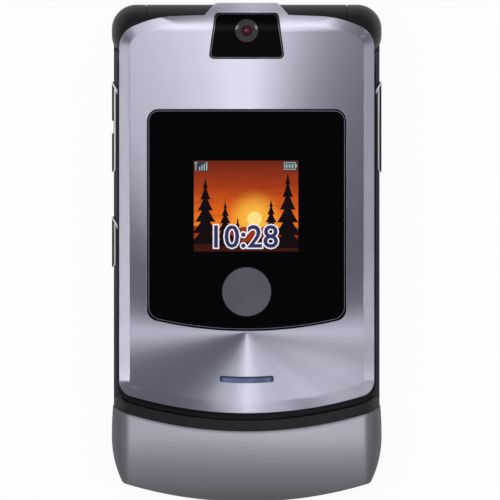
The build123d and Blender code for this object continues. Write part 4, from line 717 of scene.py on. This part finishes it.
CLOCK_WHITE = make_lit_ink("clock_white", (0.86, 0.84, 0.90))
ICON_PALE = make_lit_ink("icon_pale", (0.30, 0.40, 0.40))
ICON_DARK = make_lit_ink("icon_dark", (0.012, 0.018, 0.022))
LEGEND_PALE = make_printed_ink("legend_pale", (0.90, 0.93, 0.98))
LEGEND_GREEN = make_printed_ink("legend_green", (0.06, 0.55, 0.13))
LEGEND_RED = make_printed_ink("legend_red", (0.68, 0.04, 0.03))

slot_of = {entry["node"]: entry["material_slot"] for entry in frame["record"]["subparts"]}
for name, thing in nodes.items():
    if slot_of.get(name) not in FINISHES:
        raise SystemExit(f"node {name} has no finish for slot {slot_of.get(name)}")
    thing.data.materials.clear()
    thing.data.materials.append(FINISHES[slot_of[name]])
nodes["outer_window"].data.materials[0] = OUTER_WINDOW
nodes["main_window"].data.materials[0] = MAIN_CLEAR


# ---- Shaping helpers; a bmesh is in millimetres until add_piece closes it ----
MERGE_DISTANCE = 0.0005
GLYPH_HALF_THICKNESS = 0.5


def add_piece(name, bm, material, body):
    """Turns a bmesh into an object that moves with its body."""
    bmesh.ops.remove_doubles(bm, verts=bm.verts, dist=MERGE_DISTANCE)
    bmesh.ops.scale(bm, vec=(MM, MM, MM), verts=bm.verts)
    bmesh.ops.recalc_face_normals(bm, faces=bm.faces)
    mesh = bpy.data.meshes.new(name)
    bm.to_mesh(mesh)
    bm.free()
    mesh.materials.append(material)
    piece = bpy.data.objects.new(name, mesh)
    bpy.context.scene.collection.objects.link(piece)
    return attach(piece, body)


def lift(bm, faces, height):
    """Pulls flat faces up into closed slabs."""
    pulled = bmesh.ops.extrude_face_region(bm, geom=faces, use_keep_orig=True)["geom"]
    tops = [v for v in pulled if isinstance(v, bmesh.types.BMVert)]
    bmesh.ops.translate(bm, verts=tops, vec=(0, 0, height))


def bar(bm, corners, layer):
    """Low bar on a four-cornered plan, between the two heights of a layer."""
    low_z, high_z = layer
    verts = [bm.verts.new((x, y, low_z)) for x, y in corners]
    lift(bm, [bm.faces.new(verts)], high_z - low_z)


def block(bm, x0, x1, y0, y1, layer):
    bar(bm, ((x0, y0), (x1, y0), (x1, y1), (x0, y1)), layer)


def rounded_panel(half_top, half_foot, top, foot, z, corner, segments):
    """Flat four-cornered face with rounded corners, the same on both sides of X = 0."""
    bm = bmesh.new()
    bmesh.ops.create_grid(bm, x_segments=1, y_segments=1, size=1.0)
    for v in bm.verts:
        half, y = (half_top, top) if v.co.y > 0 else (half_foot, foot)
        v.co = Vector((math.copysign(half, v.co.x), y, z))
    bmesh.ops.bevel(
        bm, geom=list(bm.verts), affect="VERTICES", offset=corner, segments=segments,
        profile=0.5, material=-1,
    )
    return bm


def largest_face(bm):
    return max(bm.faces, key=lambda f: f.calc_area())


def keep_outline(bm, width):
    """Turns a panel into a ring along its outline."""
    bmesh.ops.inset_individual(bm, faces=[largest_face(bm)], thickness=width, use_even_offset=True)
    bmesh.ops.delete(bm, geom=[largest_face(bm)], context="FACES_ONLY")


def glyph_mesh(words, bolder=0.0):
    """Characters as a closed bmesh, 1 unit to the em and 1 thick."""
    curve = bpy.data.curves.new("glyphs", "FONT")
    curve.body = words
    curve.size = 1.0
    curve.offset = bolder
    curve.extrude = GLYPH_HALF_THICKNESS
    curve.resolution_u = 3
    holder = bpy.data.objects.new("glyphs", curve)
    bpy.context.scene.collection.objects.link(holder)
    bpy.context.view_layer.update()
    finished = holder.evaluated_get(bpy.context.evaluated_depsgraph_get())
    shape = bpy.data.meshes.new_from_object(finished)
    bm = bmesh.new()
    bm.from_mesh(shape)
    bpy.data.objects.remove(holder)
    bpy.data.curves.remove(curve)
    bpy.data.meshes.remove(shape)
    return bm


def reach(bm):
    """Lowest and highest corner of a bmesh."""
    low = Vector([min(v.co[i] for v in bm.verts) for i in range(3)])
    high = Vector([max(v.co[i] for v in bm.verts) for i in range(3)])
    return low, high


def set_glyphs(bm, scale_x, scale_y, about, place, layer):
    """Scales characters about one of their points and lays that point on a place."""
    low_z, high_z = layer
    bmesh.ops.translate(bm, verts=bm.verts, vec=(-about.x, -about.y, GLYPH_HALF_THICKNESS))
    bmesh.ops.scale(bm, verts=bm.verts, vec=(scale_x, scale_y, high_z - low_z))
    bmesh.ops.translate(bm, verts=bm.verts, vec=(*place, low_z))


def layer_on(face, low, high):
    """Two heights, given from a face."""
    return face + low, face + high


# ---- Lid pieces ----
def add_clock():
    """Navy digits with a white outline, across the foot of the outer screen."""
    time, left, right, foot, top = "10:28", -6.4, 6.15, 0.88, 5.39
    digit_weight, outline_weight = 0.012, 0.052
    plain = glyph_mesh(time, digit_weight)
    low, high = reach(plain)
    scale_x, scale_y = (right - left) / (high.x - low.x), (top - foot) / (high.y - low.y)
    outline_layer = layer_on(WINDOW_HIGH.z, 0.002, 0.008)
    digit_layer = layer_on(WINDOW_HIGH.z, 0.012, 0.018)
    set_glyphs(plain, scale_x, scale_y, low, (left, foot), digit_layer)
    add_piece("clock_digits", plain, CLOCK_NAVY, "lid")
    wide = glyph_mesh(time, outline_weight)
    set_glyphs(wide, scale_x, scale_y, low, (left, foot), outline_layer)
    add_piece("clock_outline", wide, CLOCK_WHITE, "lid")


def add_screen_icons():
    """Signal bars and a battery in the top corners of the outer screen."""
    ground = layer_on(WINDOW_HIGH.z, 0.002, 0.005)
    mark = layer_on(WINDOW_HIGH.z, 0.007, 0.011)
    foot, top, pad = 16.1, 17.7, 0.15
    signal_ground, battery_ground = (-10.25, -7.5), (7.15, 10.0)
    dark = bmesh.new()
    block(dark, *signal_ground, foot - pad, top + pad, ground)
    block(dark, *battery_ground, foot, top + pad, ground)
    add_piece("icon_grounds", dark, ICON_DARK, "lid")

    pale = bmesh.new()
    first_bar, bar_pitch, bar_width = -9.35, 0.46, 0.26
    lowest_bar, bar_step = 16.75, 0.32
    for i in range(4):
        x = first_bar + i * bar_pitch
        block(pale, x, x + bar_width, foot, lowest_bar + i * bar_step, mark)
    mast, mast_head, head_height = (-10.05, -9.87), (-10.2, -9.7), 0.25
    block(pale, *mast, foot, top, mark)
    block(pale, *mast_head, top - head_height, top, mark)
    cell_left, cell_right, cell_foot, wall = 7.3, 9.6, 16.25, 0.16
    block(pale, cell_left, cell_right, cell_foot, cell_foot + wall, mark)
    block(pale, cell_left, cell_right, top - wall, top, mark)
    block(pale, cell_left, cell_left + wall, cell_foot, top, mark)
    block(pale, cell_right - wall, cell_right, cell_foot, top, mark)
    tip_length, tip_foot, tip_top = 0.25, 16.7, 17.25
    block(pale, cell_right, cell_right + tip_length, tip_foot, tip_top, mark)
    charge_pitch, charge_width, charge_gap = 0.58, 0.36, 0.35
    for i in range(3):
        x = cell_left + charge_gap + i * charge_pitch
        block(pale, x, x + charge_width, cell_foot + charge_gap, top - charge_gap, mark)
    add_piece("icon_marks", pale, ICON_PALE, "lid")


def add_window_rim():
    """Fine raised line that runs round the outer window just inside its edge."""
    inset, width, height, sunk = 0.2, 0.13, 0.025, 0.005
    side_foot, foot_radius, corner = -12.87, 79.0, 2.2
    half = WINDOW_HIGH.x - inset
    bm = rounded_panel(
        half, half, WINDOW_HIGH.y - inset, side_foot + inset, WINDOW_HIGH.z - sunk,
        corner - inset, segments=8,
    )
    foot_edge = min(bm.edges, key=lambda e: e.verts[0].co.y + e.verts[1].co.y)
    bmesh.ops.subdivide_edges(bm, edges=[foot_edge], cuts=23)
    side_drop = math.sqrt(foot_radius**2 - half**2)
    for v in bm.verts:
        if v.co.y < 0:
            v.co.y += side_drop - math.sqrt(foot_radius**2 - v.co.x**2)
    keep_outline(bm, width)
    lift(bm, list(bm.faces), height)
    add_piece("window_rim", bm, RIM_GREY, "lid")


def add_camera_rim():
    """Fine raised line round the camera window, following its roll over the hinge."""
    inset, width, height, sunk = 0.16, 0.13, 0.03, 0.01
    half_top, half_foot, corner, long_flank = 6.15, 7.4, 1.0, 4.0
    bm = rounded_panel(
        half_top - inset, half_foot - inset, CAMERA_HIGH.y - inset, CAMERA_LOW.y + inset, 0.0,
        corner, segments=6,
    )
    keep_outline(bm, width)
    flanks = [e for e in bm.edges if abs(e.verts[0].co.y - e.verts[1].co.y) > long_flank]
    bmesh.ops.subdivide_edges(bm, edges=flanks, cuts=11, use_grid_fill=True)
    lift(bm, list(bm.faces), height)
    roll_radius = CAMERA_HIGH.z - HINGE_Z
    for v in bm.verts:
        past_axis = max(0.0, v.co.y - HINGE_Y)
        v.co.z += HINGE_Z + math.sqrt(roll_radius**2 - past_axis**2) - sunk
    add_piece("camera_rim", bm, RIM_GREY, "lid")


# ---- Base and side key pieces ----
def add_hinge_washers():
    """Thin friction washers that fill the two seams of the hinge barrel."""
    low_x, high_x, inner, outer = 19.63, 19.77, 3.4, 5.22
    section = ((low_x, inner), (high_x, inner), (high_x, outer), (low_x, outer))
    bm = bmesh.new()
    for side in (-1, 1):
        ends = [bm.verts.new((side * x, HINGE_Y, HINGE_Z + radius)) for x, radius in section]
        loop = [bm.edges.new((ends[i], ends[(i + 1) % 4])) for i in range(4)]
        bmesh.ops.spin(
            bm, geom=loop, cent=(0, HINGE_Y, HINGE_Z), axis=(1, 0, 0), angle=2 * math.pi,
            steps=48, use_merge=True,
        )
    add_piece("hinge_washers", bm, FINISHES["side_chrome"], "base")


def add_notch_sill():
    """Lip that closes the relief in the base frame in front of the hinge barrel."""
    half_width, front, rear, layer = 8.39, 36.42, 37.58, (6.9, 7.45)
    bm = bmesh.new()
    block(bm, -half_width, half_width, front, rear, layer)
    add_piece("notch_sill", bm, FINISHES["frame_metal"], "base")


def add_side_trim(name, key, side, margin):
    """Chrome line along the top edge of a side key, ending in a slanted bar at its hinge end."""
    low, high = box_mm(key)
    low_y, high_y = low.y + margin, high.y - margin
    inner, outer = 25.78, 26.08
    line_foot, line_head = low_y + 0.9, high_y - 1.6
    slant_foot, slant_head, slant_width = high_y - 2.35, high_y - 0.25, 0.42
    line_layer, slant_layer = (6.56, 6.66), (6.56, 6.68)
    slant = (
        (25.12, slant_foot),
        (25.4, slant_foot - slant_width),
        (26.48, slant_head - slant_width),
        (26.4, slant_head),
    )
    tail = ((inner, line_foot), (outer, line_foot), (26.36, low_y + 0.3), (26.1, low_y + 0.2))
    bm = bmesh.new()
    block(bm, inner, outer, line_foot, line_head, line_layer)
    bar(bm, slant, slant_layer)
    bar(bm, tail, line_layer)
    for v in bm.verts:
        v.co.x *= side
    add_piece(name, bm, CHROME, key)


# ---- Marks on the keys ----
KEY_PRINT = layer_on(KEY_TOP, -0.01, 0.015)
RING_PRINT = layer_on(RING_TOP, -0.01, 0.015)


def add_legend(name, sign, node, height):
    """A printed digit or sign, centred on its key; height is that of a nought of its size."""
    bm = glyph_mesh(sign, 0.006)
    low, high = reach(bm)
    middle = middle_mm(node)
    scale = height / NOUGHT_HEIGHT
    set_glyphs(bm, scale, scale, (low + high) / 2, (middle.x, middle.y), KEY_PRINT)
    add_piece(name, bm, LEGEND_PALE, node)


def add_bar_mark(name, node, width, height, material, rows=(0.0,)):
    """Short printed bars, centred on their key; rows are their distances from its middle."""
    x, y, _ = middle_mm(node)
    bm = bmesh.new()
    for row in rows:
        foot, head = y + row - height / 2, y + row + height / 2
        block(bm, x - width / 2, x + width / 2, foot, head, KEY_PRINT)
    add_piece(name, bm, material, node)


def add_ring_pointers():
    """Four small pointers on the ring key."""
    pointer_radius, out, stretch = 0.75, 6.6, (1.25, 0.85, 1.0)
    low_z, high_z = RING_PRINT
    middle = middle_mm("nav_ring")
    bm = bmesh.new()
    for quarter in range(4):
        made = bmesh.ops.create_circle(
            bm, cap_ends=True, segments=3, radius=pointer_radius
        )["verts"]
        bmesh.ops.scale(bm, verts=made, vec=stretch)
        bmesh.ops.translate(bm, verts=made, vec=(0, out, low_z))
        turn = Matrix.Rotation(quarter * math.pi / 2, 3, "Z")
        bmesh.ops.rotate(bm, verts=made, cent=(0, 0, 0), matrix=turn)
    lift(bm, list(bm.faces), high_z - low_z)
    bmesh.ops.translate(bm, verts=bm.verts, vec=(middle.x, middle.y, 0))
    add_piece("ring_pointers", bm, LEGEND_PALE, "nav_ring")


nought_low, nought_high = reach(glyph_mesh("0"))
NOUGHT_HEIGHT = nought_high.y - nought_low.y

add_clock()
add_screen_icons()
add_window_rim()
add_camera_rim()
add_hinge_washers()
add_notch_sill()
add_side_trim("rocker_trim", "volume_rocker", side=-1, margin=0.0)
add_side_trim("smart_key_trim", "smart_key", side=-1, margin=0.4)
add_side_trim("voice_key_trim", "voice_key", side=1, margin=0.4)
for digit in "1234567890":
    add_legend(f"legend_{digit}", digit, f"key_{digit}", 3.0)
add_legend("legend_star", "*", "key_star", 4.4)
add_legend("legend_hash", "#", "key_hash", 2.8)
add_ring_pointers()
add_bar_mark("left_soft_mark", "left_soft_key", 2.6, 0.4, LEGEND_PALE)
add_bar_mark("right_soft_mark", "right_soft_key", 2.6, 0.4, LEGEND_PALE)
add_bar_mark("send_mark", "send_key", 3.4, 0.8, LEGEND_GREEN)
add_bar_mark("end_mark", "end_key", 3.4, 0.8, LEGEND_RED)
add_bar_mark("menu_mark", "menu_key", 2.6, 0.3, LEGEND_PALE, rows=(-0.75, 0.0, 0.75))
add_bar_mark("clear_mark", "clear_key", 2.2, 0.4, LEGEND_PALE)


# ---- Camera: far above the lid, looking straight down ----
VIEW_WIDTH, VIEW_X, VIEW_Y = 98.0, 0.65, 0.49
LENS, SENSOR = 1000.0, 36.0
camera_data = bpy.data.cameras.new("lid_camera")
camera_data.lens = LENS
camera_data.sensor_width = SENSOR
camera_data.clip_start = 0.01
camera_data.clip_end = 10.0
camera = bpy.data.objects.new("lid_camera", camera_data)
bpy.context.scene.collection.objects.link(camera)
camera.location = Vector((VIEW_X, VIEW_Y, LID_TOP + VIEW_WIDTH * LENS / SENSOR)) * MM
bpy.context.scene.camera = camera
bpy.context.scene.view_settings.view_transform = "Standard"


# ---- Floor, world and lamps; lamps stand off in metres ----
WHITE = (1.0, 1.0, 1.0)
SOFTBOX_AWAY, SPOT_AWAY, SPOT_BLEND = 0.9, 0.5, 0.8


def background_rays(g):
    """Mask of the camera, mirror and glass rays, and the node's outputs."""
    rays = g.add("ShaderNodeLightPath").outputs
    seen = g.math("MAXIMUM", rays["Is Camera Ray"], rays["Is Glossy Ray"])
    return g.math("MAXIMUM", seen, rays["Is Transmission Ray"]), rays


def make_floor():
    """White paper that shows almost plain white to the camera and keeps a faint shadow."""
    half_side, gap, plain_share = 2.0, 0.02, 0.95
    bm = bmesh.new()
    bmesh.ops.create_grid(bm, x_segments=1, y_segments=1, size=half_side)
    bmesh.ops.translate(bm, verts=bm.verts, vec=(0, 0, -gap * MM))
    mesh = bpy.data.meshes.new("studio_floor")
    bm.to_mesh(mesh)
    bm.free()
    floor = bpy.data.objects.new("studio_floor", mesh)
    bpy.context.scene.collection.objects.link(floor)
    material, g, shader = surface("floor_white_paper", Roughness=0.9)
    grain = g.noise(g.place(), 300.0, 3.0)
    g.feed(shader, "Base Color", g.mix(grain, (0.86, 0.86, 0.86), (0.9, 0.9, 0.9)))
    glow = g.add("ShaderNodeEmission")
    g.feed(glow, "Color", WHITE)
    mixer = g.add("ShaderNodeMixShader")
    g.feed(mixer, 0, g.math("MULTIPLY", background_rays(g)[0], plain_share))
    g.feed(mixer, 1, shader.outputs[0])
    g.feed(mixer, 2, glow.outputs[0])
    g.feed(g.tree.nodes["Material Output"], "Surface", mixer.outputs[0])
    mesh.materials.append(material)


def make_world():
    """White to the camera; to mirrors white low down and dark overhead; plain grey as a light."""
    overhead, daylight = (0.16, 0.16, 0.185), (0.45, 0.45, 0.47)
    world = bpy.data.worlds.new("studio_world")
    bpy.context.scene.world = world
    world.use_nodes = True
    g = Graph(world.node_tree)
    _, _, height = g.split(g.add("ShaderNodeTexCoord").outputs["Generated"])
    mirrored = g.mix(g.spread(height, 0.03, 0.22, smooth=True), WHITE, overhead)
    seen, rays = background_rays(g)
    sky = g.mix(seen, daylight, mirrored)
    background = world.node_tree.nodes["Background"]
    g.feed(background, "Color", g.mix(rays["Is Camera Ray"], sky, WHITE))
    g.feed(background, "Strength", 1.0)


def add_lamp(name, kind, azimuth, elevation, away, aim=(0.0, 0.0, 0.0), **settings):
    """Lamp that looks at a place; azimuth 90 is over the hinge end. Angles are in degrees."""
    around, up = math.radians(azimuth), math.radians(elevation)
    level = math.cos(up)
    way = Vector((math.cos(around) * level, math.sin(around) * level, math.sin(up)))
    data = bpy.data.lights.new(name, kind)
    for key, value in settings.items():
        setattr(data, key, value)
    thing = bpy.data.objects.new(name, data)
    bpy.context.scene.collection.objects.link(thing)
    thing.location = Vector(aim) * MM + way * away
    thing.rotation_mode = "QUATERNION"
    thing.rotation_quaternion = way.to_track_quat("Z", "Y")
    thing.visible_camera = False


def softbox(name, azimuth, elevation, width, height, watts):
    """Rectangular lamp over the middle of the phone; its height runs towards the zenith."""
    add_lamp(
        name, "AREA", azimuth, elevation, SOFTBOX_AWAY, shape="RECTANGLE", size=width,
        size_y=height, energy=watts,
    )


def spot(name, azimuth, elevation, aim_x, aim_y, cone, radius, watts):
    """Soft spot on one part of the lid; its aim is in millimetres, its whole cone in degrees."""
    add_lamp(
        name, "SPOT", azimuth, elevation, SPOT_AWAY, aim=(aim_x, aim_y, LID_TOP),
        spot_size=math.radians(cone), spot_blend=SPOT_BLEND, shadow_soft_size=radius, energy=watts,
    )


make_floor()
make_world()
softbox("streak_strip", 90, 72, width=0.04, height=0.2, watts=0.55)
softbox("broad_high", 114, 72, width=0.18, height=0.2, watts=0.56)
softbox("left_bevel", 182, 57, width=0.08, height=0.12, watts=0.42)
softbox("right_bevel", 0, 57, width=0.1, height=0.12, watts=0.215)
spot("lower_right", 317, 74, 12, -29, cone=4.6, radius=0.012, watts=0.36)
spot("lower_right_far", 339, 74, 14.5, -25, cone=4.6, radius=0.012, watts=0.42)
spot("lower_left", 69, 74, -5, -28, cone=2.6, radius=0.01, watts=0.4)
spot("left_corner", 135, 58, -22, 38, cone=2.4, radius=0.01, watts=0.3)
spot("right_corner", 45, 58, 22, 38, cone=2.4, radius=0.01, watts=0.16)
